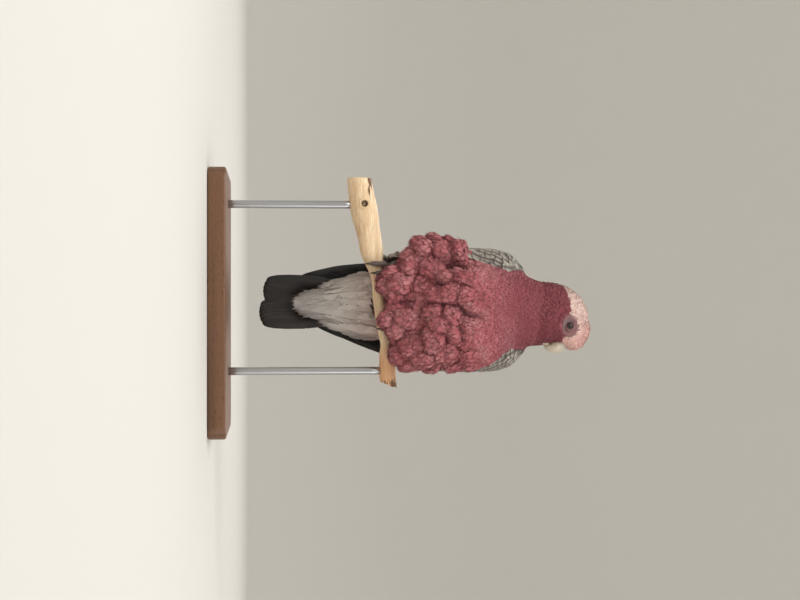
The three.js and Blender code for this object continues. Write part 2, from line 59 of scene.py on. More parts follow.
def node(tree, kind, inputs=None, **settings):
    """Adds a node. Each input is given by name or number, as a value or as another node's output."""
    made = tree.nodes.new(kind)
    for key, value in settings.items():
        setattr(made, key, value)
    for key, value in (inputs or {}).items():
        if isinstance(value, bpy.types.NodeSocket):
            tree.links.new(value, made.inputs[key])
        else:
            made.inputs[key].default_value = value
    return made


def material(name):
    """An empty material and its node tree."""
    made = bpy.data.materials.new(name)
    made.use_nodes = True
    made.node_tree.nodes.clear()
    return made, made.node_tree


def surface(tree, **inputs):
    """Ends a material in a Principled shader with these inputs, an underscore standing for a space."""
    shader = node(tree, "ShaderNodeBsdfPrincipled", {k.replace("_", " "): v for k, v in inputs.items()})
    node(tree, "ShaderNodeOutputMaterial", {0: shader.outputs[0]})


def piece(name, mesh, finish, slot, *replaced):
    """Puts a finished mesh in the scene as a piece that rides on the model and stands for these nodes."""
    mesh.materials.clear()
    mesh.materials.append(finish)
    made = bpy.data.objects.new(name, mesh)
    bpy.context.scene.collection.objects.link(made)
    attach(made, "root")
    if replaced:
        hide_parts(*replaced)
    return made


def mesh_of(name, points, faces, smooth=True):
    """A mesh from an array of points in millimetres and one array of faces of equal size."""
    points, faces = np.asarray(points, float).reshape(-1, 3), np.asarray(faces, int)
    made = bpy.data.meshes.new(name)
    made.vertices.add(len(points))
    made.vertices.foreach_set("co", (points * MM).astype(np.float32).ravel())
    made.loops.add(faces.size)
    made.loops.foreach_set("vertex_index", faces.astype(np.int32).ravel())
    made.polygons.add(len(faces))
    made.polygons.foreach_set("loop_start", np.arange(0, faces.size, faces.shape[1], dtype=np.int32))
    made.update(calc_edges=True)
    if smooth:
        made.shade_smooth()
    return made


def rounded_board(length, depth, height, corner, edge):
    """A flat board whose upright corners are rounded and whose upper and lower edges are broken."""
    board = bmesh.new()
    bmesh.ops.create_cube(board, size=1)
    for v in board.verts:
        v.co = Vector((v.co.x * length, v.co.y * depth, (v.co.z + 0.5) * height)) * MM
    upright = [e for e in board.edges if abs(e.verts[0].co.z - e.verts[1].co.z) > 1e-6]
    bmesh.ops.bevel(board, geom=upright, offset=corner * MM, segments=16, affect="EDGES", profile=0.5)
    level = [e for e in board.edges if abs(e.verts[0].co.z - e.verts[1].co.z) < 1e-6]
    rims = [e for e in level if abs(e.calc_face_angle(0)) > 1.2]
    bmesh.ops.bevel(board, geom=rims, offset=edge * MM, segments=4, affect="EDGES", profile=0.5)
    bmesh.ops.recalc_face_normals(board, faces=board.faces)
    made = bpy.data.meshes.new("stand_board")
    board.to_mesh(made)
    board.free()
    for face in made.polygons:
        face.use_smooth = face.area < 4e-4
    return made


# Walnut, planed and oiled: a close brown with darker annual bands some 6 mm apart that wander along the
# board, and open pores drawn as fine dark dashes. The oil leaves a low, even gloss.
walnut, tree = material("walnut_oiled")
place = node(tree, "ShaderNodeTexCoord").outputs["Object"]
stretched = node(tree, "ShaderNodeMapping", {0: place, "Scale": (12, 170, 170)}).outputs[0]
drift = node(tree, "ShaderNodeTexNoise", {"Vector": stretched, "Scale": 0.35, "Detail": 3}).outputs[0]
bands = node(tree, "ShaderNodeTexWave", {"Vector": stretched, "Scale": 0.32, "Distortion": 7, "Detail": 3},
             bands_direction="Y").outputs[1]
dashes = node(tree, "ShaderNodeMapping", {0: place, "Scale": (160, 2600, 2600)}).outputs[0]
pores = node(tree, "ShaderNodeTexNoise", {"Vector": dashes, "Scale": 1, "Detail": 1}).outputs[0]
pore = node(tree, "ShaderNodeMapRange", {0: pores, 1: 0.62, 2: 0.72}).outputs[0]
tone = linear("#6e4a31")
for share, code in ((bands, "#4b2f1e"), (drift, "#7a563b"), (pore, "#2c1a10")):
    tone = node(tree, "ShaderNodeMix", {0: share, 6: tone, 7: linear(code)}, data_type="RGBA").outputs[2]
relief = node(tree, "ShaderNodeBump", {"Height": pore, "Strength": 0.3, "Distance": 0.0002},
              invert=True).outputs[0]
rough = node(tree, "ShaderNodeMapRange", {0: drift, 3: 0.36, 4: 0.5}).outputs[0]
surface(tree, Base_Color=tone, Roughness=rough, Normal=relief)
piece("stand_board", rounded_board(**BASE), walnut, "base_wood", "stand_base")

# ---- Rods ----
# Two round steel rods, 8 mm thick, turned and brushed along a lathe. Each is let into the board and the
# branch.
ROD = {"radius": 4, "sides": 48, "rings": 12}


def grid_faces(columns, rows, closed):
    """Quads over a grid of points whose rows run first; closed joins each row's end to its start."""
    across = np.arange(columns if closed else columns - 1)
    j, i = np.meshgrid(np.arange(rows - 1), across, indexing="ij")
    a, b = j * columns + i, j * columns + (i + 1) % columns
    return np.stack([a, b, b + columns, a + columns], -1).reshape(-1, 4)


def tube_mesh(name, rings, smooth=True):
    """A closed tube through an array of rings of points, with a flat cap at each end."""
    rows, columns = rings.shape[:2]
    made = bmesh.new()
    flat = [made.verts.new(Vector(p) * MM) for p in rings.reshape(-1, 3)]
    for quad in grid_faces(columns, rows, True):
        made.faces.new([flat[k] for k in quad])
    for row in (range(columns), range((rows - 1) * columns, rows * columns)):
        made.faces.new([flat[k] for k in row])
    bmesh.ops.recalc_face_normals(made, faces=made.faces)
    mesh = bpy.data.meshes.new(name)
    made.to_mesh(mesh)
    made.free()
    for face in mesh.polygons:
        face.use_smooth = smooth and len(face.vertices) == 4
    return mesh


# Steel, brushed round the rod: a neutral grey metal whose fine turning marks, drawn 0.25 mm apart, spread its
# highlight along its length.
steel, tree = material("steel_brushed")
place = node(tree, "ShaderNodeTexCoord").outputs["Object"]
turning = node(tree, "ShaderNodeMapping", {0: place, "Scale": (60, 60, 4000)}).outputs[0]
marks = node(tree, "ShaderNodeTexNoise", {"Vector": turning, "Scale": 1, "Detail": 2}).outputs[0]
rough = node(tree, "ShaderNodeMapRange", {0: marks, 3: 0.24, 4: 0.42}).outputs[0]
relief = node(tree, "ShaderNodeBump", {"Height": marks, "Strength": 0.15, "Distance": 0.0001}).outputs[0]
surface(tree, Base_Color=linear("#b9babd"), Metallic=1.0, Roughness=rough, Normal=relief)
for name in ("stand_rod_1", "stand_rod_2"):
    low, high = (np.array(corner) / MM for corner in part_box(name))
    turn = np.linspace(0, 2 * math.pi, ROD["sides"], endpoint=False)
    middle = (low + high) / 2
    x, y = middle[0] + ROD["radius"] * np.cos(turn), middle[1] + ROD["radius"] * np.sin(turn)
    heights = np.linspace(low[2], high[2], ROD["rings"])
    rings = np.stack([np.stack([x, y, np.full_like(turn, z)], -1) for z in heights])
    piece(name.replace("stand_rod", "brushed_rod"), tube_mesh(name, rings), steel, "rod_steel", name)

# ---- Branch ----
# A cut length of dead branch, 27 mm thick at one end and 12 mm where the bird grips it. Its bark was chewed
# off, so it is bare pale wood with a few strips of bark, a knot hole, one sawn end and one broken end.
FLOOR = 171  # the height of the branch's axis above the floor, where the bird's own heights start
BRANCH = [  # along x, the axis's height and the radius
    [-127, -21, 12.3], [-105, -17.2, 13.2], [-88, -14.6, 13.6], [-64, -10, 12], [-52, -8.4, 11.6],
    [-42, -6.6, 9.4], [-28, -2.6, 6.8], [-3, -0.4, 6.2], [17, 2.4, 6.2], [34, 5, 6.2], [43, 7.2, 6.6],
    [51, 7.6, 8], [68, 7.8, 8.2], [83, 9, 8.6],
]
KNOT_HOLE = {"at": (-100.5, -16), "radius": 2.6, "depth": 5, "rim": 0.9}
BREAK = {"from": 68, "slant": 3.4, "splinters": 1.3}


def stations(rows, values):
    """Smooth interpolation of a table by its first column, as one array for each of the others."""
    rows, values = np.array(rows, float), np.asarray(values, float)
    keys = rows[:, 0]
    k = np.clip(np.searchsorted(keys, values) - 1, 0, len(keys) - 2)
    span = keys[k + 1] - keys[k]
    t = np.clip((values - keys[k]) / span, 0, 1)
    before = np.maximum(np.arange(len(keys)) - 1, 0)
    after = np.minimum(np.arange(len(keys)) + 1, len(keys) - 1)
    found = []
    for column in rows.T[1:]:
        slope = (column[after] - column[before]) / (keys[after] - keys[before])
        step = (column[k + 1] - column[k]) * t * t * (3 - 2 * t)
        found.append(column[k] + step + (t**3 - 2 * t * t + t) * span * slope[k]
                     + (t**3 - t * t) * span * slope[k + 1])
    return found


def smooth_step(value, low, high):
    t = np.clip((np.asarray(value, float) - low) / (high - low), 0, 1)
    return t * t * (3 - 2 * t)


def branch_rings():
    """The branch's surface: soft ridges, fine splits of the grain, the knot hole and the broken end."""
    sawn_end, broken_end = BRANCH[0][0], BRANCH[-1][0]
    x = np.linspace(sawn_end, broken_end, 250)
    height, radius = stations(BRANCH, x)
    turn = np.linspace(0, 2 * math.pi, 112, endpoint=False)
    x, turn = np.meshgrid(x, turn, indexing="ij")
    height, radius = height[:, None], radius[:, None]
    ridges = 0.024 * np.sin(3 * turn + x / 16) + 0.016 * np.sin(2 * turn - x / 9)
    r = radius * (1 + ridges)
    points = np.stack([x, r * np.cos(turn), height + r * np.sin(turn)], -1)
    for column in range(points.shape[0]):
        for row in range(points.shape[1]):
            spot = points[column, row]
            grain = noise.noise(Vector((spot[0] * 0.035, spot[1] * 0.75, spot[2] * 0.75)))
            lumps = noise.noise(Vector((spot[0] * 0.07, spot[1] * 0.16, spot[2] * 0.16 + 9)))
            r[column, row] += 0.28 * grain + 0.42 * lumps - 0.28 * max(0.0, 0.12 - abs(grain)) / 0.12
    knot = np.hypot(x - KNOT_HOLE["at"][0], points[..., 2] - KNOT_HOLE["at"][1]) + 40 * (points[..., 1] > 0)
    r -= KNOT_HOLE["depth"] * (1 - smooth_step(knot, KNOT_HOLE["radius"] * 0.55, KNOT_HOLE["radius"] * 1.1))
    r += KNOT_HOLE["rim"] * np.exp(-(((knot - KNOT_HOLE["radius"] * 1.7) / 1.6) ** 2))
    slant = BREAK["slant"] * np.sin(turn) * smooth_step(x, BREAK["from"], broken_end)
    splinters = np.sin(7 * turn + 1) * np.sin(3 * turn) * smooth_step(x, broken_end - 4, broken_end)
    x = x + slant + BREAK["splinters"] * splinters
    return np.stack([x, r * np.cos(turn), height + r * np.sin(turn) + FLOOR], -1)


# Eucalypt wood with the bark gone, weathered: a pale straw colour with greyer and tanner streaks along the
# grain, some 1.5 mm apart, and dry, so that it has hardly any gloss. Strips of bark, dull brown and a little
# proud, stay on the thick end's upper edge and by the break. The sawn end shows rings 1 mm apart.
bare_wood, tree = material("eucalypt_bare")
place = node(tree, "ShaderNodeTexCoord").outputs["Object"]
split = node(tree, "ShaderNodeSeparateXYZ", {0: place})
grain, wide, fine, patch = (
    node(tree, "ShaderNodeTexNoise", {"Vector": node(tree, "ShaderNodeMapping", {
        0: place, "Scale": (along, across, across)}).outputs[0], "Scale": 1, "Detail": detail,
        "Roughness": roughness}).outputs[0]
    for along, across, detail, roughness in (
        (28, 620, 5, 0.62), (14, 130, 3, 0.5), (60, 1900, 2, 0.5), (45, 190, 4, 0.5)))
streak, broad_streak, split_grain = (
    node(tree, "ShaderNodeMapRange", {0: pattern, 1: least, 2: most, 4: share}).outputs[0]
    for pattern, least, most, share in (
        (grain, 0.35, 0.68, 1), (wide, 0.48, 0.74, 0.75), (fine, 0.56, 0.72, 0.5)))
tan = node(tree, "ShaderNodeMapRange", {0: split.outputs[0], 1: 0.038, 2: 0.064, 4: 0.8},
           interpolation_type="SMOOTHSTEP").outputs[0]
# Bark is where the noise, lifted near the two places that keep it, passes a limit.
thick_end, break_end, upper = (
    node(tree, "ShaderNodeMapRange", {0: split.outputs[axis], 1: start, 2: end, 4: 0.3}).outputs[0]
    for axis, start, end in ((0, -0.086, -0.122), (0, 0.07, 0.082), (2, 0.148, 0.162)))
lift = node(tree, "ShaderNodeMath", {0: thick_end, 1: upper}, operation="MULTIPLY").outputs[0]
lift = node(tree, "ShaderNodeMath", {0: lift, 1: 3.2, 2: break_end}, operation="MULTIPLY_ADD").outputs[0]
bark = node(tree, "ShaderNodeMath", {0: patch, 1: lift}, operation="ADD").outputs[0]
bark = node(tree, "ShaderNodeMapRange", {0: bark, 1: 0.7, 2: 0.76}).outputs[0]
# The knot hole's inside and a little round it are painted a very dark brown.
from_knot = node(tree, "ShaderNodeMapping", {0: place, "Location": (0.1005, 0.013, -0.155)}).outputs[0]
knot = node(tree, "ShaderNodeVectorMath", {0: from_knot}, operation="LENGTH").outputs[1]
knot_dark = node(tree, "ShaderNodeMapRange", {0: knot, 1: 0.0042, 2: 0.0026}).outputs[0]
tone = linear("#f4dfbd")
for share, code in ((streak, "#ddb98e"), (broad_streak, "#c99f73"), (split_grain, "#ab855c"),
                    (tan, "#d39c6e"), (bark, "#6f5138"), (knot_dark, "#2a1c12")):
    tone = node(tree, "ShaderNodeMix", {0: share, 6: tone, 7: linear(code)}, data_type="RGBA").outputs[2]
sawn = node(tree, "ShaderNodeMapRange", {0: split.outputs[0], 1: -0.1267, 2: -0.12695}).outputs[0]
from_heart = node(tree, "ShaderNodeMapping", {
    0: place, "Location": (0, 0, -0.150), "Scale": (0, 1, 1)}).outputs[0]
rings = node(tree, "ShaderNodeTexWave", {
    "Vector": from_heart, "Scale": 300, "Distortion": 1.5, "Detail": 2, "Detail Scale": 0.6},
    wave_type="RINGS", rings_direction="X").outputs[1]
end_tone = node(tree, "ShaderNodeMix", {0: rings, 6: linear("#dcc39c"), 7: linear("#b8925f")},
                data_type="RGBA").outputs[2]
tone = node(tree, "ShaderNodeMix", {0: sawn, 6: tone, 7: end_tone}, data_type="RGBA").outputs[2]
depth = node(tree, "ShaderNodeMath", {0: fine, 1: bark}, operation="ADD").outputs[0]
relief = node(tree, "ShaderNodeBump", {"Height": depth, "Strength": 0.5, "Distance": 0.0004}).outputs[0]
rough = node(tree, "ShaderNodeMapRange", {0: bark, 3: 0.68, 4: 0.9}).outputs[0]
surface(tree, Base_Color=tone, Roughness=rough, Normal=relief)
piece("branch", tube_mesh("branch", branch_rings()), bare_wood, "branch_wood", "perch")

# ---- Legs and feet ----
# Short shanks in grey skin covered with small plates, and four toes, two over the front of the branch and
# two behind. Each toe has cross plates on top and soft pads below. The skin is dry and the plates slightly
# polished.
FEET = {"right": (-34.5, -1), "left": (21, 1)}  # where each stands along the branch, and its side
SHANK = {"radius": 4.3, "ankle": 5.5, "forward": 2, "lean": (-1.5, 7, 30)}
PLATES = {"toe": 13, "shank_rows": 13, "shank_columns": 9, "width": 4.6, "length": 2.3, "height": 1.1}
TOES = {  # the sideways spread and the reach round the branch in degrees, to the front (-1) or the back (+1)
    "outer_front": (-5.2, 112, -1), "inner_front": (4.2, 100, -1),
    "outer_back": (-5, 96, 1), "inner_back": (3.6, 78, 1),
}


def unit(vectors):
    return vectors / np.maximum(np.linalg.norm(vectors, axis=-1, keepdims=True), 1e-9)


def on_branch(x, degrees, lift):
    """A point above the branch's surface, at an angle round it from the front (0) over the top (90)."""
    height, radius = stations(BRANCH, x)
    a, r = np.radians(degrees), radius * 1.04 + lift
    return np.stack([x + 0 * a, -r * np.cos(a), height + r * np.sin(a) + FLOOR], -1)


def toe_path(side, toe, s):
    """The middle line of a toe at shares s along it, its outward direction and its radius."""
    (foot, sign), (spread, reach, way) = FEET[side], TOES[toe]
    x = foot - sign * spread * np.minimum(1, 0.35 + 1.6 * s)
    degrees = 90 + way * (4 + (reach - 4) * s)
    middle = on_branch(x, degrees, 4.0)
    outwards = unit(middle - on_branch(x, degrees, -3))
    radius = (3.4 - 1.3 * s**1.3) * (1 + 0.1 * np.sin(3 * math.pi * s))
    return middle, outwards, radius


def shank_line(side):
    """The ankle's place and the way from there to the knee."""
    foot, sign = FEET[side]
    height, radius = stations(BRANCH, [foot])
    lean_x, lean_y, rise = SHANK["lean"]
    ankle = np.array([foot, SHANK["forward"], height[0] + radius[0] + SHANK["ankle"] + FLOOR])
    return ankle, np.array([sign * lean_x, lean_y, rise])


def foot_parts(side):
    """The shank and the toes as closed tubes, with pads below the toes and a fold at each joint."""
    turn = np.linspace(0, 2 * math.pi, 22, endpoint=False)
    parts = []
    for toe in TOES:
        s = np.linspace(0, 1, 44)
        middle, outwards, radius = toe_path(side, toe, s)
        ends = np.sqrt(np.clip(1 - ((s - 0.5) / 0.5) ** 12, 0.12, 1))
        folds = 1 - 0.07 * np.exp(-(((s % 0.333 - 0.17) / 0.03) ** 2))
        r = (radius * ends * folds)[:, None]
        pads = 1 + 0.12 * np.clip(-np.sin(turn), 0, 1) * np.abs(np.sin(s * 3 * math.pi))[:, None]
        plates = 1 + 0.035 * np.clip(np.sin(turn), 0, 1) * np.cos(s * 26 * math.pi)[:, None]
        parts.append(middle[:, None] + r[..., None] * (
            np.cos(turn)[:, None] * np.array([1.0, 0, 0])
            + (np.sin(turn) * pads * plates)[..., None] * outwards[:, None]))
    ankle, shin = shank_line(side)
    s = np.linspace(-0.12, 1, 40)
    r = SHANK["radius"] - 0.5 * smooth_step(s, 0, 0.5) + 1.2 * smooth_step(s, 0.7, 1)
    r *= np.sqrt(np.clip((s + 0.14) / 0.2, 0, 1))
    r = r[:, None] * (1 + 0.03 * np.cos(s * 30 * math.pi)[:, None] * np.cos(turn * 3))
    spine = ankle + s[:, None] * shin
    parts.append(spine[:, None] + r[..., None] * np.stack([np.cos(turn), np.sin(turn), 0 * turn], -1))
    return parts


def joined_tubes(name, parts):
    made = bmesh.new()
    for rings in parts:
        made.from_mesh(tube_mesh(name, rings))
    mesh = bpy.data.meshes.new(name)
    made.to_mesh(mesh)
    made.free()
    return mesh


def plate_spots(side):
    """Where each horny plate sits: its place, outward direction, direction along the toe and size."""
    spots = []
    for toe in TOES:
        count = PLATES["toe"]
        s = (np.arange(count) + 0.6) / (count + 0.4)
        middle, outwards, radius = toe_path(side, toe, s)
        forwards = unit(np.gradient(middle, axis=0))
        for k in range(count):
            spot = middle[k] + outwards[k] * radius[k] * 0.86
            spots.append((spot, outwards[k], forwards[k], radius[k] / 3.4))
    ankle, shin = shank_line(side)
    for row in range(PLATES["shank_rows"]):
        s = 0.02 + row * 0.066
        r = SHANK["radius"] - 0.5 * float(smooth_step(s, 0, 0.5))
        for column in range(PLATES["shank_columns"]):
            a = (column + 0.5 * (row % 2)) / PLATES["shank_columns"] * 2 * math.pi
            outwards = np.array([math.cos(a), math.sin(a), 0])
            spots.append((ankle + shin * s + outwards * (r * 0.93), outwards, -unit(shin), 0.62))
    return spots


def plates_tree():
    """Geometry Nodes: a low rounded plate at each point, turned to face outwards and scaled to the toe."""
    made = bpy.data.node_groups.new("foot_plates", "GeometryNodeTree")
    sockets = {}
    for name, kind, value in (("Points", "NodeSocketGeometry", None),
                              ("Plate width", "NodeSocketFloat", PLATES["width"]),
                              ("Plate length", "NodeSocketFloat", PLATES["length"]),
                              ("Plate height", "NodeSocketFloat", PLATES["height"]),
                              ("Skin", "NodeSocketMaterial", None)):
        sockets[name] = made.interface.new_socket(name, in_out="INPUT", socket_type=kind)
        if value is not None:
            sockets[name].default_value = value * MM
    made.interface.new_socket("Plates", in_out="OUTPUT", socket_type="NodeSocketGeometry")
    given = made.nodes.new("NodeGroupInput")
    size = node(made, "ShaderNodeCombineXYZ", {
        0: given.outputs["Plate width"], 1: given.outputs["Plate length"],
        2: given.outputs["Plate height"]}).outputs[0]
    ball = node(made, "GeometryNodeMeshUVSphere", {"Segments": 8, "Rings": 5, "Radius": 0.5}).outputs["Mesh"]
    plate = node(made, "GeometryNodeTransform", {"Geometry": ball, "Scale": size}).outputs[0]
    facing, forwards, share = (
        node(made, "GeometryNodeInputNamedAttribute", {"Name": name}, data_type=kind).outputs[0]
        for name, kind in (("facing", "FLOAT_VECTOR"), ("forwards", "FLOAT_VECTOR"), ("share", "FLOAT")))
    turned = node(made, "FunctionNodeAlignRotationToVector", {"Vector": facing}, axis="Z").outputs[0]
    turned = node(made, "FunctionNodeAlignRotationToVector", {"Rotation": turned, "Vector": forwards},
                  axis="Y", pivot_axis="Z").outputs[0]
    many = node(made, "GeometryNodeInstanceOnPoints", {
        "Points": given.outputs["Points"], "Instance": plate, "Rotation": turned, "Scale": share}).outputs[0]
    real = node(made, "GeometryNodeRealizeInstances", {"Geometry": many}).outputs[0]
    real = node(made, "GeometryNodeSetShadeSmooth", {"Geometry": real}).outputs[0]
    ended = node(made, "GeometryNodeSetMaterial", {
        "Geometry": real, "Material": given.outputs["Skin"]}).outputs[0]
    node(made, "NodeGroupOutput", {0: ended})
    return made, sockets


# Bird's foot skin: dark mouse-brown, mottled paler, darker in the sunken lines between its grains, and with a
# dry, faintly waxy gloss. Its grain is 0.6 mm across.
foot_skin, tree = material("foot_skin")
place = node(tree, "ShaderNodeTexCoord").outputs["Object"]
mottle = node(tree, "ShaderNodeTexNoise", {"Vector": place, "Scale": 420, "Detail": 4}).outputs[0]
cells = node(tree, "ShaderNodeTexVoronoi", {"Vector": place, "Scale": 1500}).outputs[0]
furrowed = node(tree, "ShaderNodeMapRange", {0: cells, 1: 0.2, 2: 0.7, 4: 0.35}).outputs[0]
tone = linear("#4a403b")
for share, code in ((mottle, "#7a6c64"), (furrowed, "#2f2826")):
    tone = node(tree, "ShaderNodeMix", {0: share, 6: tone, 7: linear(code)}, data_type="RGBA").outputs[2]
relief = node(tree, "ShaderNodeBump", {"Height": cells, "Strength": 0.4, "Distance": 0.0002},
              invert=True).outputs[0]
surface(tree, Base_Color=tone, Roughness=0.62, Normal=relief)

plates, plate_inputs = plates_tree()
for side in FEET:
    spots = plate_spots(side)
    seeds = bpy.data.meshes.new(f"{side}_plate_spots")
    seeds.from_pydata([Vector(spot[0]) * MM for spot in spots], [], [])
    for column, name in ((1, "facing"), (2, "forwards"), (3, "share")):
        kind, key = ("FLOAT_VECTOR", "vector") if column < 3 else ("FLOAT", "value")
        values = np.array([spot[column] for spot in spots], np.float32).ravel()
        seeds.attributes.new(name, kind, "POINT").data.foreach_set(key, values)
    holder = bpy.data.objects.new("plate_spots", seeds)
    bpy.context.scene.collection.objects.link(holder)
    grown = holder.modifiers.new("plates", "NODES")
    grown.node_group = plates
    grown[plate_inputs["Skin"].identifier] = foot_skin
    bpy.context.view_layer.update()
    shown = bpy.data.meshes.new_from_object(holder.evaluated_get(bpy.context.evaluated_depsgraph_get()))
    bpy.data.objects.remove(holder)
    whole = bmesh.new()
    whole.from_mesh(joined_tubes(f"{side}_leg", foot_parts(side)))
    whole.from_mesh(shown)
    leg = bpy.data.meshes.new(f"{side}_shank_and_toes")
    whole.to_mesh(leg)
    whole.free()
    piece(f"{side}_shank_and_toes", leg, foot_skin, "foot_skin", f"{side}_leg")

# ---- Claws ----
# Curved horn sheaths over the last bone of each toe, grown in layers and worn blunt on the branch.
CLAW = {"reach": 42, "root": 1.75, "tip": 0.4}

# Horn, solid keratin: nearly black and polished, a little browner where it leaves the toe, with growth lines
# some 0.5 mm apart.
claw_horn, tree = material("claw_horn")
place = node(tree, "ShaderNodeTexCoord").outputs["Object"]
lines = node(tree, "ShaderNodeTexNoise", {"Vector": place, "Scale": 900, "Detail": 2}).outputs[0]
tone = node(tree, "ShaderNodeMix", {0: lines, 6: linear("#1d1a19"), 7: linear("#4a4039")},
            data_type="RGBA").outputs[2]
relief = node(tree, "ShaderNodeBump", {"Height": lines, "Strength": 0.2, "Distance": 0.0001}).outputs[0]
surface(tree, Base_Color=tone, Roughness=0.32, Normal=relief)
for side, (foot, sign) in FEET.items():
    for toe, (spread, reach, way) in TOES.items():
        s = np.linspace(0, 1, 22)
        turn = np.linspace(0, 2 * math.pi, 16, endpoint=False)
        degrees = 90 + way * (reach - 3 + (CLAW["reach"] + 3) * s)
        x = np.full_like(s, foot - sign * spread)
        middle = on_branch(x, degrees, 2.5 + 1.5 * np.sin(math.pi * s) - 1.3 * s)
        outwards = unit(middle - on_branch(x, degrees, -4))
        r = CLAW["root"] + (CLAW["tip"] - CLAW["root"]) * s**0.9
        r = (r * np.sqrt(np.clip((1.02 - s) / 0.12, 0.02, 1)))[:, None, None]
        rings = middle[:, None] + r * (np.cos(turn)[:, None] * np.array([0.8, 0, 0])
                                       + np.sin(turn)[:, None] * outwards[:, None] * 1.15)
        piece(f"{side}_{toe}_talon", tube_mesh("talon", rings), claw_horn, "claw_horn", f"{side}_claw_{toe}")

# ---- Skin ----
# One skin runs over the head, neck, trunk and closed wings. It is thin and loose, and hidden by the coat but
# for its colour between the feathers, so it lies inside the plumage by the plumage's own depth.
FLESH = ("head", "neck", "trunk", "right_wing", "left_wing")
HEAD = {"at": (16, -2, 184 + FLOOR), "turn": -8}
EYE = {"at": (10.6, 17.8, 7.7), "radius": 5.4}  # in the head's frame: +X to the bill, +Y to its left
GRAIN = {"joined": 0.45, "voxel": 2.1}  # how far the parts are swelled to join, and the skin's mesh size
COAT_DEPTH = {"head": 1.9, "face": 0.9, "neck": 2.4, "breast": 3.4, "wing": 1.8, "back": 2.6, "eye": 0.35}
FLUFFED_UP_TO = (84, 112)  # the heights over the branch between which the fluffed plumage ends
head_turn = np.array(Matrix.Rotation(math.radians(HEAD["turn"]), 3, "Z"))


def in_head(points):
    return (points - np.array(HEAD["at"])) @ head_turn


def from_head(points):
    return np.asarray(points, float) @ head_turn.T + np.array(HEAD["at"])


def points_of(mesh, key="co"):
    values = np.empty(len(mesh.vertices) * 3, np.float32)
    mesh.vertices.foreach_get(key, values)
    return values.reshape(-1, 3).astype(float) / (MM if key == "co" else 1)


def tree_of(mesh):
    corners = [Vector(p) for p in points_of(mesh)]
    return BVHTree.FromPolygons(corners, [tuple(f.vertices) for f in mesh.polygons])


def evaluated(mesh, kind, **settings):
    """The mesh after one modifier."""
    holder = bpy.data.objects.new("holder", mesh)
    bpy.context.scene.collection.objects.link(holder)
    modifier = holder.modifiers.new("step", kind)
    for key, value in settings.items():
        setattr(modifier, key, value)
    bpy.context.view_layer.update()
    made = bpy.data.meshes.new_from_object(holder.evaluated_get(bpy.context.evaluated_depsgraph_get()))
    bpy.data.objects.remove(holder)
    return made


def spread_out(values, edges, rounds):
    """Each vertex's value drawn towards the mean of its neighbours' a number of times."""
    values = np.array(values, float)
    counts = np.bincount(edges.ravel(), minlength=len(values)).astype(float)
    counts = counts.reshape((-1,) + (1,) * (values.ndim - 1))
    for _ in range(rounds):
        sums = np.zeros_like(values)
        np.add.at(sums, edges[:, 0], values[edges[:, 1]])
        np.add.at(sums, edges[:, 1], values[edges[:, 0]])
        values = (values + sums / np.maximum(counts, 1)) / 2
    return values


def edges_of(mesh):
    edges = np.empty(len(mesh.edges) * 2, np.int32)
    mesh.edges.foreach_get("vertices", edges)
    return edges.reshape(-1, 2)


flesh = bmesh.new()
for name in FLESH:
    flesh.from_mesh(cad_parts[name].data)
bmesh.ops.remove_doubles(flesh, verts=flesh.verts, dist=1e-6)
flesh.normal_update()
for v in flesh.verts:
    v.co += v.normal * GRAIN["joined"] * MM
skin = bpy.data.meshes.new("skin")
flesh.to_mesh(skin)
flesh.free()
skin = evaluated(skin, "REMESH", mode="VOXEL", voxel_size=GRAIN["voxel"] * MM)
# Hollows between the joined parts leave inner shells, and the outer one has by far the most faces.
whole = bmesh.new()
whole.from_mesh(skin)
left, shells = set(whole.verts), []
while left:
    group, front = set(), [left.pop()]
    while front:
        v = front.pop()
        group.add(v)
        for e in v.link_edges:
            other = e.other_vert(v)
            if other in left:
                left.remove(other)
                front.append(other)
    shells.append(group)
outer = max(shells, key=len)
bmesh.ops.delete(whole, geom=[v for group in shells if group is not outer for v in group], context="VERTS")
whole.to_mesh(skin)
whole.free()

skin_edges = edges_of(skin)
coat_surface = spread_out(points_of(skin), skin_edges, 3)
node_trees = {name: tree_of(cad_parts[name].data) for name in FLESH}


def nearest_part(points):
    """The number in FLESH of the part whose surface is nearest to each point."""
    gaps = [[node_trees[name].find_nearest(p)[3] for p in points] for name in FLESH]
    return np.argmin(np.array(gaps), axis=0)


def eye_distance(points):
    """How far each point is from the nearer eye's middle in ring widths: 1 at the bare ring's outer edge."""
    q = in_head(points)
    away = np.hypot((q[:, 0] - EYE["at"][0] + 0.4) / 10.6, (q[:, 2] - EYE["at"][2] - 0.2) / 8.8)
    return np.where(np.abs(q[:, 1]) > 8, away, 9)


skin.vertices.foreach_set("co", (coat_surface * MM).astype(np.float32).ravel())
skin.update()
outwards = spread_out(points_of(skin, "normal"), skin_edges, 4)
part = nearest_part(coat_surface)
to_face = smooth_step(in_head(coat_surface)[:, 0], 0, 24)
on_face = COAT_DEPTH["head"] + (COAT_DEPTH["face"] - COAT_DEPTH["head"]) * to_face
depth = np.choose(part, [on_face, *(COAT_DEPTH[place] for place in ("neck", "breast", "wing", "wing"))])
depth = np.where((part == 2) & (coat_surface[:, 1] > 22), COAT_DEPTH["back"], depth)
depth = np.where(eye_distance(coat_surface) < 1.05, COAT_DEPTH["eye"], depth)
depth = spread_out(depth, skin_edges, 5)
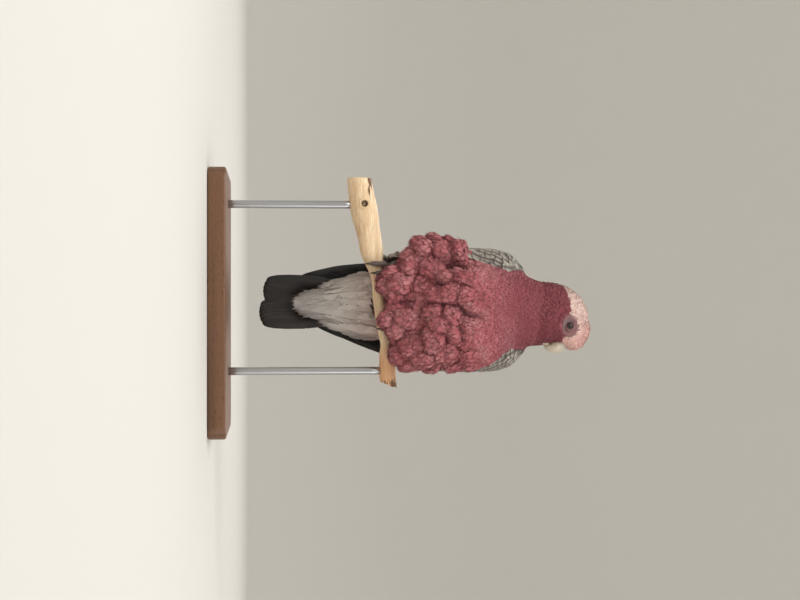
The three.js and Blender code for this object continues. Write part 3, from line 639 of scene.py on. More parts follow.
# Where the plumage is fluffed, its lobes are drawn out, and lesser clumps some 16 mm apart stand between
# them.
broad = spread_out(coat_surface, skin_edges, 45)
outwards = unit(outwards)
hollow = ((broad - coat_surface) * outwards).sum(1)
fluffed = 1 - smooth_step(coat_surface[:, 2] - FLOOR, *FLUFFED_UP_TO)
fluffed = fluffed * (part == 2) * (coat_surface[:, 1] < 20)
fluffed = spread_out(fluffed, skin_edges, 5)
LOBES = [  # over the breast, belly and right flank: x, the height and the radius
    (-29, 92, 19), (33, 92, 20), (-12, 67, 11), (-35, 77, 9), (13, 74, 10), (33, 73, 12), (53, 70, 12),
    (-56, 80, 12), (-57, 63, 13), (-58, 45, 12), (-36, 50, 12), (-39, 30, 12), (-18, 22, 14), (-17, 41, 10),
    (13, 26, 13), (8, 47, 11), (37, 50, 13), (43, 29, 14), (61, 42, 12), (26, 8, 9), (-2, 4, 9), (56, 14, 10)]
FOLD = {"spacing": 16, "share": 0.62, "dome": 2.4, "crease": 5.5, "narrow": 0.17, "overhang": 3.2,
        "swell": 2.0}
front = np.flatnonzero(outwards[:, 1] < -0.05)
lobes = [coat_surface[front[np.argmin(((coat_surface[front][:, [0, 2]] - (x, z + FLOOR)) ** 2).sum(1))]]
         for x, z, _ in LOBES]
sizes = [radius for *_, radius in LOBES]
dice = np.random.default_rng(5)
for spot in coat_surface[dice.permutation(np.flatnonzero(fluffed > 0.02))]:
    if all(np.linalg.norm(spot - other) > FOLD["share"] * (size + FOLD["spacing"])
           for other, size in zip(lobes, sizes)):
        lobes.append(spot)
        sizes.append(FOLD["spacing"] * 0.72)
lobes, sizes = np.array(lobes), np.array(sizes)
sway = np.array([[noise.noise(Vector(p / 10 + shift)) for shift in (0, 50, 90)] for p in coat_surface])
away = (coat_surface[:, None] - lobes[None] + 4.0 * sway[:, None]) / sizes[None, :, None]
far = np.linalg.norm(away, axis=2)
order = np.argsort(far, axis=1)[:, :2]
first, second = (np.take_along_axis(far, order, 1)[:, k] for k in (0, 1))
in_lobe = 1 - np.exp(-(((second - first) / FOLD["narrow"]) ** 2))
hang = np.clip(-away[np.arange(len(away)), order[:, 0], 2], -1, 1.1)
lumps = FOLD["overhang"] * hang * in_lobe - FOLD["dome"] * np.clip(first, 0, 1.4) ** 2
lumps = lumps - FOLD["crease"] * (1 - in_lobe)
relief = fluffed * (lumps + FOLD["swell"] + 0.7 * sway[:, 0] - 0.35 * np.clip(hollow, -4, 4))
PARTINGS = [  # x and height over the branch, down each deep parting in front, and its depth
    ([(16, 100), (12, 88), (7, 78), (3, 66), (1, 54), (0, 44)], 4.5), ([(-1, 32), (-2, 22), (-1, 13)], 5),
    ([(-20, 67), (-21, 60), (-20, 52)], 6), ([(-40, 84), (-41, 76), (-40, 66)], 6),
    ([(22, 69), (40, 66), (58, 63)], 3), ([(-48, 66), (-60, 69), (-70, 68)], 2.5),
    ([(-46, 51), (-58, 53), (-70, 52)], 2.5), ([(30, 22), (33, 30), (32, 38)], 3.5)]
PARTING_WIDTH = 2.6
cut = np.zeros(len(coat_surface))
for line, deep in PARTINGS:
    for (x0, z0), (x1, z1) in zip(line, line[1:]):
        along = np.array([x1 - x0, z1 - z0])
        p = coat_surface[:, [0, 2]] - (x0, z0 + FLOOR) + 2 * sway[:, :2]
        t = np.clip((p @ along) / (along @ along), 0, 1)
        aside = np.linalg.norm(p - t[:, None] * along, axis=1)
        cut = np.maximum(cut, deep * np.exp(-(aside / PARTING_WIDTH) ** 2))
cut *= smooth_step(-outwards[:, 1], 0, 0.3) * (part == 2)
relief -= cut
in_lobe *= 1 - np.clip(cut / 5, 0, 1)
skin_points = coat_surface + outwards * (relief - depth)[:, None]
skin_points = spread_out(skin_points, skin_edges, 1)
skin.vertices.foreach_set("co", (skin_points * MM).astype(np.float32).ravel())
skin.update()
skin_faces = np.array([tuple(f.vertices) for f in skin.polygons])
skin_outwards = unit(spread_out(points_of(skin, "normal"), skin_edges, 3))
face_outwards = unit(skin_outwards[skin_faces].mean(1))
skin_tree = tree_of(skin)
face_crease = ((1 - in_lobe) * fluffed)[skin_faces].mean(1)
face_hang = (hang * fluffed)[skin_faces].mean(1)

# ---- Rose plumage of the neck, breast, belly and flanks ----
# Contour feathers 7 to 11 mm long, soft and open at the tip, rooted in close rows and lying like tiles. Below
# the breast the bird has fluffed them into clumps, with dark partings between.
TRUNK_X, TRUNK_Y = 5, 2  # the middle of the body
BARB = {"half": 0.06, "height": 2.2, "ragged": 1.6}  # a loose barb's root, and how much its tip varies


def plume_pattern(middle, edge, joins, tip, loose=()):
    """One feather's thin closed vane: the share along it, across it, the layer and the raggedness of each
    point, and its triangles.

    middle holds the shaft's points, edge the right side's outline from root to tip, saw-toothed where the
    barbs part, and joins the outline point beside each shaft point. Each loose barb is a three-sided spike
    from (along, across) to (along, across, height).
    """
    ragged = [float(s > 0.5 and x > 0.2) for s, x in edge]
    spots = [(middle[0], 0, 0, 0), (tip, 0, 0, 0)]
    spots += [(s, 0, layer, 0) for layer in (1, -1) for s in middle[1:]]
    spots += [(s, x * side, 0, r) for side in (1, -1) for (s, x), r in zip(edge, ragged)]
    count = len(middle) - 1
    triangles = []
    for layer in (1, -1):
        shaft = [0] + [2 + (0 if layer > 0 else count) + k for k in range(count)]
        for side in (1, -1):
            rim = [2 + 2 * count + (0 if side > 0 else len(edge)) + k for k in range(len(edge))]
            found = []
            for k, start in enumerate(joins):
                end = joins[k + 1] if k + 1 < len(joins) else len(edge) - 1
                found += [(shaft[k], rim[j], rim[j + 1]) for j in range(start, end)]
                found.append((shaft[k], rim[end], shaft[k + 1] if k + 1 < len(joins) else 1))
            triangles += [t if layer * side > 0 else t[::-1] for t in found]
    for (s, x), (far, out, height) in loose:
        n = len(spots)
        spots += [(s, x - BARB["half"], 0, 0), (s, x + BARB["half"], 0, 0), (s + 0.02, x, BARB["height"], 0),
                  (far, out, height, BARB["ragged"])]
        triangles += [(n, n + 1, n + 3), (n + 1, n + 2, n + 3), (n + 2, n, n + 3), (n, n + 2, n + 1)]
    return np.array(spots, float), np.array(triangles)


def fringed(middle, low, turns, reach, notch):
    """A round-ended outline: its plain lower part, then barb tips with gaps between, round a half circle."""
    edge = list(low)
    for k, turn in enumerate(turns):
        a = math.radians(turn)
        edge.append((middle + reach * 1.07 * math.sin(a), 1.07 * math.cos(a)))
        b = math.radians(turn + (turns[k + 1] - turn) / 2 if k + 1 < len(turns) else 86)
        edge.append((middle + reach * notch * math.sin(b), notch * math.cos(b)))
    return tuple(edge)


def rim_barbs(count, middle, reach, heights):
    """Loose barbs that leave the vane inside its rim and end beyond it, from low on one side to the other."""
    found = []
    for k in range(count):
        turn = -1 + 2 * k / (count - 1)
        along = middle - max(abs(turn) - 0.5, 0) * 1.1
        a = math.pi * min(max(turn, -0.5), 0.5)
        out = 0.4 * max(abs(turn) - 0.5, 0)
        start = (along + 0.55 * reach * math.cos(a), 0.62 * math.sin(a))
        end = along + 1.25 * reach * math.cos(a) + 0.1 + out * 0.3
        aside = (1.22 - out) * math.sin(a) * (1 + 0.08 * (k % 2))
        found.append((start, (end, aside, heights[k % len(heights)])))
    return found


FLUFFED = plume_pattern(
    (0, 0.25, 0.5, 0.7), ((0, 0.16), (0.25, 0.64), (0.48, 0.84), (0.7, 0.7), (0.84, 0.38)),
    (0, 1, 2, 3), 0.9, rim_barbs(15, 0.64, 0.36, (0.6, 2.4, 0.2, 1.5)))
CONTOUR = plume_pattern(
    (0, 0.25, 0.5, 0.7), ((0, 0.16), (0.25, 0.7), (0.5, 0.95), (0.76, 0.82), (0.9, 0.46)),
    (0, 1, 2, 3), 0.97, rim_barbs(12, 0.68, 0.3, (0.2, 0.9, 0.1, 0.5)))


def skin_under(points):
    """The nearest place on the skin to each point, and the smooth outward direction there."""
    found = [skin_tree.find_nearest(p) for p in points]
    return np.array([f[0] for f in found]), face_outwards[[f[2] for f in found]]


def scatter(faces, spacing, seed, tries=9):
    """Even random roots over these faces of the skin, no two nearer than the spacing, and their faces."""
    dice = np.random.default_rng(seed)
    corners = skin_points[skin_faces[faces]]
    areas = np.linalg.norm(np.cross(corners[:, 2] - corners[:, 0], corners[:, 3] - corners[:, 1]), axis=1) / 2
    count = int(areas.sum() / (0.75 * spacing**2) * tries)
    picks = dice.choice(len(faces), count, p=areas / areas.sum())
    u, v = dice.random((2, count, 1))
    c = corners[picks]
    spots = c[:, 0] * (1 - u) * (1 - v) + c[:, 1] * u * (1 - v) + c[:, 2] * u * v + c[:, 3] * (1 - u) * v
    cells, kept = {}, []
    for k, (spot, cell) in enumerate(zip(spots.tolist(), np.floor(spots / spacing).astype(int).tolist())):
        near = (p for dx in (-1, 0, 1) for dy in (-1, 0, 1) for dz in (-1, 0, 1)
                for p in cells.get((cell[0] + dx, cell[1] + dy, cell[2] + dz), ()))
        if all(math.dist(p, spot) > spacing for p in near):
            cells.setdefault(tuple(cell), []).append(spot)
            kept.append(k)
    return spots[kept], np.asarray(faces)[picks[kept]]


def lie(points, normals):
    """Which way the coat lies: from the bill back over the head, round the eyes, then down the body."""
    q = in_head(points)
    crown = smooth_step(q[:, 2], 2, 13)[:, None]
    brow = smooth_step(q[:, 0], 8, 20)[:, None]
    way = crown * (np.array([-1, 0, -0.12]) + brow * np.array([0.3, 0, 1.1]))
    way = way + (1 - crown) * np.array([-0.8, 0, -0.75])
    from_eye = q - np.array([EYE["at"][0], 0, EYE["at"][2]])
    from_eye[:, 1] = 0
    way = way + 1.5 * unit(from_eye) * (1 - smooth_step(eye_distance(points), 1.0, 1.7))[:, None]
    on_head = smooth_step(points[:, 2] - FLOOR, 160, 178)[:, None]
    way = on_head * (way @ head_turn.T) + (1 - on_head) * np.array([0, 0.3, -1])
    return unit(way - normals * (way * normals).sum(1, keepdims=True))


def grow(roots, normals, length, rise, straight=0.0, wander=0.0, seed=1, clumps=None, steps=7):
    """The shafts from these roots: along the skin, rising to the tip, and drawn together in clumps."""
    dice = np.random.default_rng(seed)
    count = len(roots)
    length, rise, straight = (np.broadcast_to(v, count).astype(float)[:, None]
                              for v in (length, rise, straight))
    ahead = lie(roots, normals)
    turn = (wander * dice.normal(size=count))[:, None]
    ahead = unit(ahead * np.cos(turn) + np.cross(normals, ahead) * np.sin(turn))
    first, here, up = ahead, roots, normals
    paths, ups = [roots], [normals]
    for _ in range(steps):
        here, up = skin_under(here + ahead * length / steps)
        wanted = lie(here, up)
        wanted = unit(wanted * np.cos(turn) + np.cross(up, wanted) * np.sin(turn))
        ahead = unit(ahead * 0.6 + wanted * 0.4)
        ahead = unit(ahead - up * (ahead * up).sum(1, keepdims=True))
        paths.append(here)
        ups.append(up)
    s = np.linspace(0, 1, steps + 1)[None, :, None]
    path, up = np.stack(paths, 1), np.stack(ups, 1)
    line = roots[:, None] + first[:, None] * length[:, None] * s
    path = path * (1 - straight[:, None] * s) + line * straight[:, None] * s
    lifted = 0.3 + (rise[:, None] - 0.3) * s**0.9
    if clumps is not None:
        centres, pull, width = clumps
        pull = np.broadcast_to(pull, count)[:, None]
        away = centres[:, None] - roots[None]
        near = (away**2).sum(2).argmin(0)
        away = centres[near] - roots
        behind = (away * first).sum(1, keepdims=True)
        beside = away - first * behind
        path = path + ((first * behind * 0.7 + beside * 0.28) * pull)[:, None] * s**1.6
        edge = np.clip(np.linalg.norm(beside, axis=1, keepdims=True) / width, 0, 1.2)
        lift = (1.22 - 0.75 * edge**2) * (1 + 0.05 * behind)
        lifted = lifted * (1 + pull * (lift - 1))[:, None]
    return path + unit(up) * lifted, up


def vanes(paths, ups, widths, pattern, camber=0.35, thick=0.32, roll=0.2, ragged=0.05, seed=1):
    """The points of every feather's vane, an array of feathers by points by three, and their soft normals."""
    dice = np.random.default_rng(seed)
    spots, _ = pattern
    count, rows = paths.shape[:2]
    ahead = unit(np.gradient(paths, axis=1))
    side = unit(np.cross(ahead, ups))
    lean = (roll * dice.normal(size=count))[:, None, None]
    over = unit(np.cross(side, ahead))
    side, over = side * np.cos(lean) + over * np.sin(lean), over * np.cos(lean) - side * np.sin(lean)
    shift = ragged * spots[:, 3] * dice.normal(size=(2, count, len(spots)))
    s, x = spots[None, :, 0] + shift[0], spots[None, :, 1] + 1.6 * shift[1]
    k = np.clip((np.clip(s, 0, 1) * (rows - 1)).astype(int), 0, rows - 2)
    t = (s * (rows - 1) - k)[..., None]
    one = np.arange(count)[:, None]
    half = (np.broadcast_to(widths, count) / 2)[:, None, None]
    spine = paths[one, k] * (1 - t) + paths[one, k + 1] * t
    x = x[..., None]
    points = (spine + side[one, k] * x * half
              + over[one, k] * (spots[None, :, 2:3] * thick / 2 - camber * x * x * half))
    return points, unit(ups[one, k] * 0.85 + over[one, k] * 0.15 + side[one, k] * x * 0.08)


def place_values(mesh, name, values):
    places = mesh.attributes.new(name, "FLOAT", "POINT").data
    places.foreach_set("value", np.asarray(values, np.float32).ravel())


def place_map(mesh, name, points):
    loops = np.empty(len(mesh.loops), np.int32)
    mesh.loops.foreach_get("vertex_index", loops)
    flat = np.asarray(points, np.float32).reshape(-1, 2)
    mesh.uv_layers.new(name=name).data.foreach_set("uv", flat[loops].ravel())


HEAD_STARTS = 154 + FLOOR
TUFT_PATCH = 0.003  # a feather's patch on the unwrap


def unwrapped(roots):
    """The roots' places on an unwrap of the skin: the turn round the body and the height, 0.01 to 0.99."""
    turn = np.degrees(np.arctan2(roots[:, 0] - TRUNK_X, -(roots[:, 1] - TRUNK_Y)))
    height = roots[:, 2]
    on_head = height > HEAD_STARTS
    q = in_head(roots)
    turn = np.where(on_head, np.degrees(np.arctan2(-q[:, 1], q[:, 0])), turn)
    rise = np.degrees(np.arctan2(q[:, 2] + 28, np.hypot(q[:, 0], q[:, 1])))
    height = np.where(on_head, HEAD_STARTS + rise, height)
    flat = np.stack([turn, height], 1)
    low, high = flat.min(0), flat.max(0)
    return 0.01 + 0.98 * (flat - low) / np.maximum(high - low, 1e-6)


def coat_mesh(name, roots, vane_shapes, pattern, lengths, widths, seed=1, **shares):
    """A coat piece's mesh from its feathers' points, with the values that its material reads."""
    (spots, triangles), (points, soft) = pattern, vane_shapes
    count, each = points.shape[:2]
    faces = (triangles[None] + (np.arange(count) * each)[:, None, None]).reshape(-1, 3)
    mesh = mesh_of(name, points, faces)
    if soft is not None:
        corners = points.reshape(-1, 3)[faces]
        flat = unit(np.cross(corners[:, 1] - corners[:, 0], corners[:, 2] - corners[:, 0]))[:, None]
        soft = soft.reshape(-1, 3)[faces]
        soft = unit(soft + flat * (0.08 - 2 * np.minimum((soft * flat).sum(2, keepdims=True), 0)))
        mesh.normals_split_custom_set(soft.reshape(-1, 3).tolist())
    lot = np.random.default_rng(seed + 77).random(count)
    place_values(mesh, "lot", np.repeat(lot, each))
    place_values(mesh, "along", np.tile(spots[:, 0], count))
    place_values(mesh, "across", np.tile(spots[:, 1], count))
    for key, value in shares.items():
        place_values(mesh, key, value if np.size(value) == count * each else np.repeat(value, each))
    local = np.stack([spots[None, :, 1] * np.broadcast_to(widths, count)[:, None] / 2,
                      spots[None, :, 0] * np.broadcast_to(lengths, count)[:, None]], -1)
    place_map(mesh, "Vane", local)
    patch = (spots[:, [1, 0]] * np.array([0.5, 0.9]) - np.array([0, 0.45])) * TUFT_PATCH
    place_map(mesh, "OFBake", unwrapped(roots)[:, None] + patch[None])
    return mesh


def clear_of(points, trees, gap):
    """Which feathers keep at least this gap from the given solids, and aren't inside them."""
    kept = np.ones(len(points), bool)
    for tree in trees:
        for n, feather in enumerate(points):
            if not kept[n]:
                continue
            for p in feather:
                spot, normal, _, away = tree.find_nearest(p, 12)
                if spot is not None and (away < gap or (Vector(p) - spot).dot(normal) < 0):
                    kept[n] = False
                    break
    return kept


def opening(points, normals, tree, reach):
    """Roots that face a solid from within this reach, as those under the bill or behind the branch do."""
    return np.array([tree.ray_cast(p, n, reach)[0] is not None for p, n in zip(points, normals)])


# Feather keratin, dyed by the diet's pigments: a matt rose, deeper and greyer at the hidden base, with a
# paler bloom at the tip and here and there over the breast. The barbs run 0.5 mm apart to the feather's
# edge, and their down catches the light as a soft sheen.
FEATHER = {"barbs": 0.55, "tip_share": 0.45, "lot_share": 0.3}


def feather_finish(name, deep, full, tip, bloom, bloom_share):
    """The start of a feather's material: its tones from root to tip, and the ripple of its barbs."""
    made, tree = material(name)
    place = node(tree, "ShaderNodeTexCoord").outputs["Object"]
    lot, along, across = (node(tree, "ShaderNodeAttribute", attribute_name=key).outputs["Fac"]
                          for key in ("lot", "along", "across"))
    vane = node(tree, "ShaderNodeSeparateXYZ", {0: node(tree, "ShaderNodeUVMap", uv_map="Vane").outputs[0]})
    out = node(tree, "ShaderNodeMath", {0: vane.outputs[0]}, operation="ABSOLUTE").outputs[0]
    barb = node(tree, "ShaderNodeMath", {0: out, 1: -1.1, 2: vane.outputs[1]},
                operation="MULTIPLY_ADD").outputs[0]
    barb = node(tree, "ShaderNodeMath", {0: barb, 1: lot}, operation="ADD").outputs[0]
    ripple = node(tree, "ShaderNodeMath", {0: barb, 1: 2 * math.pi / FEATHER["barbs"]},
                  operation="MULTIPLY").outputs[0]
    ripple = node(tree, "ShaderNodeMath", {0: ripple}, operation="SINE").outputs[0]
    rise = node(tree, "ShaderNodeMapRange", {0: along, 1: 0.15, 2: 0.8},
                interpolation_type="SMOOTHSTEP").outputs[0]
    end = node(tree, "ShaderNodeMapRange", {0: along, 1: 0.62, 2: 1.05, 4: FEATHER["tip_share"]}).outputs[0]
    drift = node(tree, "ShaderNodeTexNoise", {"Vector": place, "Scale": 38, "Detail": 2}).outputs[0]
    lot_share = FEATHER["lot_share"]
    drift = node(tree, "ShaderNodeMath", {0: lot, 1: lot_share, 2: drift},
                 operation="MULTIPLY_ADD").outputs[0]
    drift = node(tree, "ShaderNodeMapRange", {
        0: drift, 1: 0.45 + lot_share / 3, 2: 0.75 + lot_share / 2, 4: bloom_share}).outputs[0]
    tone = linear(deep)
    for share, code in ((rise, full), (end, tip), (drift, bloom)):
        tone = node(tree, "ShaderNodeMix", {0: share, 6: tone, 7: linear(code)}, data_type="RGBA").outputs[2]
    return made, tree, tone, ripple, lot, along, across, place


def feather_surface(tree, tone, ripple, lot, shades, relief, roughness, **sheen):
    """The end of a feather's material: each feather a little darker or lighter, and the barbs in relief."""
    shade = node(tree, "ShaderNodeMapRange", {0: lot, 3: shades[0], 4: shades[1]}).outputs[0]
    tone = node(tree, "ShaderNodeVectorMath", {0: tone, 3: shade}, operation="SCALE").outputs[0]
    bump = node(tree, "ShaderNodeBump", {
        "Height": ripple, "Strength": relief[0], "Distance": relief[1]}).outputs[0]
    surface(tree, Base_Color=tone, Roughness=roughness, Normal=bump, Sheen_Roughness=0.5, **sheen)


rose, tree, tone, ripple, lot, along, across, place = feather_finish(
    "rose_feather", deep="#a8595f", full="#a8595f", tip="#ad6167", bloom="#c18d8e", bloom_share=0.5)
above = node(tree, "ShaderNodeSeparateXYZ", {0: place}).outputs[2]
crease = node(tree, "ShaderNodeAttribute", attribute_name="crease").outputs["Fac"]
for value, low, high, most, code in (  # painted shade darkening the neck under the head, then painted shade in the partings
        (above, 0.262, 0.318, 0.85, "#7f3942"), (crease, 0.1, 0.9, 0.5, "#622c34")):
    share = node(tree, "ShaderNodeMapRange", {0: value, 1: low, 2: high, 4: most},
                 interpolation_type="SMOOTHSTEP").outputs[0]
    tone = node(tree, "ShaderNodeMix", {0: share, 6: tone, 7: linear(code)}, data_type="RGBA").outputs[2]
feather_surface(tree, tone, ripple, lot, (0.95, 1.05), (0.3, 0.0001), 0.85, Sheen_Weight=0.25,
                Sheen_Tint=linear("#e8b0b4"))

face_part = part[skin_faces].astype(int)
face_part = np.array([np.bincount(row, minlength=5).argmax() for row in face_part])
face_middle = skin_points[skin_faces].mean(1)
round_body = np.degrees(np.arctan2(face_middle[:, 1] - TRUNK_Y, np.abs(face_middle[:, 0] - TRUNK_X)))
belly_floor = (face_middle[:, 2] < FLOOR + 14) & (face_middle[:, 1] < 24)
rose_faces = np.flatnonzero((face_part == 1) | ((face_part == 2) & ((round_body < 30) | belly_floor)))
branch_tree = tree_of(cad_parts["perch"].data)
leg_trees = [tree_of(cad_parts[f"{side}_leg"].data) for side in FEET]

ROSE_ROWS = {"neck": 1.9, "breast": 2.1, "tuft": 9}  # the spacing of the roots, and of their tufts
wing_gap = np.array([min(node_trees[name].find_nearest(p)[3] for name in FLESH[3:])
                     for p in face_middle[rose_faces]])
rose_faces = rose_faces[(wing_gap > 5.5) | (face_middle[rose_faces, 2] < FLOOR + 94)]
dice = np.random.default_rng(11)
high = face_middle[rose_faces, 2] > FLOOR + 122
found = [scatter(rose_faces[high], ROSE_ROWS["neck"], 12),
         scatter(rose_faces[~high], ROSE_ROWS["breast"], 13)]
roots, faces = (np.concatenate(v) for v in zip(*found))
normals = face_outwards[faces]
on_neck = smooth_step(roots[:, 2] - FLOOR, 118, 142)
ruffled = 1 - smooth_step(roots[:, 2] - FLOOR, 84, 108)
tufts, _ = scatter(rose_faces, ROSE_ROWS["tuft"], 17)
lengths = (9.0 + 1.0 * ruffled - 1.8 * on_neck) * dice.uniform(0.85, 1.15, len(roots))
widths = (6.0 + 0.3 * ruffled - 1.0 * on_neck) * dice.uniform(0.9, 1.1, len(roots))
rises = 1.35 + 1.2 * ruffled - 0.35 * on_neck
rises *= 1 + (0.02 + 0.12 * ruffled) * dice.normal(size=len(roots))
rises *= 1 - 0.6 * face_crease[faces] + 0.5 * np.clip(face_hang[faces], 0, 1)
paths, ups = grow(roots, normals, lengths, rises, 0.04 + 0.16 * ruffled, 0.05 + 0.17 * ruffled, 14,
                  (tufts, 0.12 * ruffled, 6))
kept = clear_of(paths[:, 1:], [branch_tree, *leg_trees], 0.8)
crease = np.array([[face_crease[skin_tree.find_nearest(p)[2]] for p in path] for path in paths])
roots, paths, ups, lengths, widths, crease = (v[kept] for v in (roots, paths, ups, lengths, widths, crease))
ruffled = ruffled[kept] > 0.35
shapes = {True: vanes(paths[ruffled], ups[ruffled], widths[ruffled], FLUFFED, 0.2, 0.2, 0.1, 0.09, 15),
          False: vanes(paths[~ruffled], ups[~ruffled], widths[~ruffled], CONTOUR, 0.2, 0.16, 0.04, 0.08, 15)}
on_right, on_breast = roots[:, 0] < 3, roots[:, 2] - FLOOR > 66
above_breast = roots[:, 2] - FLOOR > 128
areas = {
    "neck_plumage": above_breast,
    "upper_breast_plumage": ~above_breast & ~ruffled,
    "right_breast_plumage": ruffled & on_breast & on_right,
    "left_breast_plumage": ruffled & on_breast & ~on_right,
    "right_belly_plumage": ruffled & ~on_breast & on_right,
    "left_belly_plumage": ruffled & ~on_breast & ~on_right,
}
for name, those in areas.items():
    for kind, pattern in ((True, FLUFFED), (False, CONTOUR)):
        chosen = those & (ruffled == kind)
        if chosen.any():
            shape = tuple(v[chosen[ruffled == kind]] for v in shapes[kind])
            along = np.clip(pattern[0][:, 0], 0, 1) * (crease.shape[1] - 1)
            mesh = coat_mesh(name, roots[chosen], shape, pattern, lengths[chosen], widths[chosen], 16,
                             crease=crease[chosen][:, np.round(along).astype(int)])
            piece(name, mesh, rose, "rose_plumage")

# ---- Plumage of the head ----
# Short soft feathers, 3 to 7 mm long and smallest round the eyes and bill: rose on the cheeks and throat,
# and a pale cap of pinkish white, pinker over the bill, with a low crest that lies flat at the back of the
# crown.
SMALL = plume_pattern((0, 0.4, 0.7), ((0, 0.24), (0.35, 0.88), (0.68, 0.92), (0.88, 0.5)), (0, 1, 2), 0.97,
                      rim_barbs(8, 0.68, 0.3, (0.2, 0.9, 0.5)))


# The cap's lower border from the nape to the bill, in the head's frame: along it and the height.
CAP_BORDER = ((-30, 7), (-22, 8.6), (-6, 9.6), (-2, 8.5), (4, 7), (18, 6), (20, 3.4), (24, 2.2), (28, -3))


def cap_share(points):
    """1 on the pale cap, 0 on the rose below it: the border runs from the bill under the lores to the eye's
    ring and on, level, to the nape."""
    q = in_head(points)
    border = np.interp(q[:, 0], *zip(*CAP_BORDER))
    return smooth_step(q[:, 2] - border, -0.9, 0.9)


# The rose of the cheeks and throat is painted darker than the breast's rose: painted shade.
head_feather, tree, tone, ripple, lot, along, across, place = feather_finish(
    "head_feather", deep="#7e3841", full="#7e3841", tip="#86424a", bloom="#945a5f", bloom_share=0.25)
cap, pinkness = (node(tree, "ShaderNodeAttribute", attribute_name=key).outputs["Fac"]
                 for key in ("cap", "pinkness"))
under = node(tree, "ShaderNodeMapRange", {0: along, 1: 0.9, 2: 0.35, 4: 0.5}).outputs[0]
pale = linear("#d8c0b5")
for share, code in ((pinkness, "#ecbfb4"), (under, "#d3aca3")):
    pale = node(tree, "ShaderNodeMix", {0: share, 6: pale, 7: linear(code)}, data_type="RGBA").outputs[2]
tone = node(tree, "ShaderNodeMix", {0: cap, 6: tone, 7: pale}, data_type="RGBA").outputs[2]
feather_surface(tree, tone, ripple, lot, (0.86, 1.06), (0.3, 0.0001), 0.85, Sheen_Weight=0.2,
                Sheen_Tint=linear("#e8b0b4"))

bill_trees = [tree_of(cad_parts[name].data) for name in ("upper_bill", "lower_bill")]
eye_trees = [tree_of(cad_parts[name].data) for name in ("right_eye", "left_eye")]
head_faces = np.flatnonzero(face_part == 0)
near_face = in_head(face_middle[head_faces])[:, 0] > 14
HEAD_ROWS = {"face": 1.45, "crown": 1.85}
found = [scatter(head_faces[near_face], HEAD_ROWS["face"], 21),
         scatter(head_faces[~near_face], HEAD_ROWS["crown"], 22)]
roots, faces = (np.concatenate(v) for v in zip(*found))
normals = face_outwards[faces]
hidden = eye_distance(roots) < 0.98
for tree_near, reach in ((bill_trees[0], 7), (bill_trees[1], 7), (eye_trees[0], 5), (eye_trees[1], 5)):
    hidden |= opening(roots, normals, tree_near, reach)
roots, normals = roots[~hidden], normals[~hidden]
q = in_head(roots)
dice = np.random.default_rng(23)
to_face = smooth_step(q[:, 0], -2, 22)
cap = cap_share(roots + lie(roots, normals) * 1.5)
crest = smooth_step(q[:, 2], 8, 16) * smooth_step(q[:, 0], 4, -14)
lengths = (6.6 - 3.2 * to_face + 5 * crest) * dice.uniform(0.85, 1.15, len(roots))
brow = smooth_step(q[:, 0], 6, 19) * smooth_step(q[:, 2], 7, 15)
lengths = np.where(eye_distance(roots) < 1.35, np.minimum(lengths, 3.2), lengths) + 3.2 * brow
widths = (4.4 - 1.9 * to_face + 0.6 * crest) * dice.uniform(0.9, 1.1, len(roots))
rises = (1.9 - 1.0 * to_face + 0.7 * crest + 2.4 * brow) * (1 + 0.08 * dice.normal(size=len(roots)))
paths, ups = grow(roots, normals, lengths, rises, 0.15, 0.1, 24, steps=5)
shape = vanes(paths, ups, widths, SMALL, thick=0.24, roll=0.1, seed=25)
kept = clear_of(shape[0][:, :4], bill_trees, 0.1)
pinkness = smooth_step(q[:, 0], 2, 22) * 0.85 + 0.1 + 0.1 * dice.normal(size=len(roots))
for name, those in (("cap_plumage", kept & (cap > 0.5)), ("cheek_plumage", kept & (cap <= 0.5))):
    mesh = coat_mesh(name, roots[those], tuple(v[those] for v in shape), SMALL, lengths[those], widths[those],
                     26, cap=cap[those], pinkness=np.clip(pinkness[those], 0, 1))
    piece(name, mesh, head_feather, "head_plumage")

# ---- Skin colour ----
# Bird skin under the coat, dull and finely goose-pimpled: tinted as the feathers over it are, so that no gap
# between them shows.
place_values(skin, "cap", cap_share(points_of(skin)) * (part == 0))
round_skin = np.degrees(np.arctan2(skin_points[:, 1] - TRUNK_Y, np.abs(skin_points[:, 0] - TRUNK_X)))
place_values(skin, "grey", np.maximum((part > 2) * 1.0, (part == 2) * smooth_step(round_skin, 26, 34)))
place_values(skin, "bare", 1 - smooth_step(eye_distance(points_of(skin)), 0.95, 1.1))
skin_finish, tree = material("bird_skin")
place = node(tree, "ShaderNodeTexCoord").outputs["Object"]
cap, grey, bare = (node(tree, "ShaderNodeAttribute", attribute_name=key).outputs["Fac"]
                   for key in ("cap", "grey", "bare"))
mottle = node(tree, "ShaderNodeTexNoise", {"Vector": place, "Scale": 300, "Detail": 3}).outputs[0]
tone = linear("#8c434b")
for share, code in ((mottle, "#a0535a"), (cap, "#bd948c"), (grey, "#6d6862"), (bare, "#6f5c60")):
    tone = node(tree, "ShaderNodeMix", {0: share, 6: tone, 7: linear(code)}, data_type="RGBA").outputs[2]
pimples = node(tree, "ShaderNodeTexVoronoi", {"Vector": place, "Scale": 700}).outputs[0]
relief = node(tree, "ShaderNodeBump", {"Height": pimples, "Strength": 0.3, "Distance": 0.0003},
              invert=True).outputs[0]
surface(tree, Base_Color=tone, Roughness=0.75, Normal=relief)
piece("skin", skin, skin_finish, "rose_plumage", *FLESH)

# ---- Eyes ----
# Glass eyes: a dark brown iris round a black pupil under a clear, slightly domed cornea. Each sits in a ring
# of bare, wrinkled, mauve-grey skin whose inner edge thickens into the lids.
RING = {"width": 10.0, "height": 8.2, "opening": 3.7, "thick": 1.5, "wrinkle": 1.25}

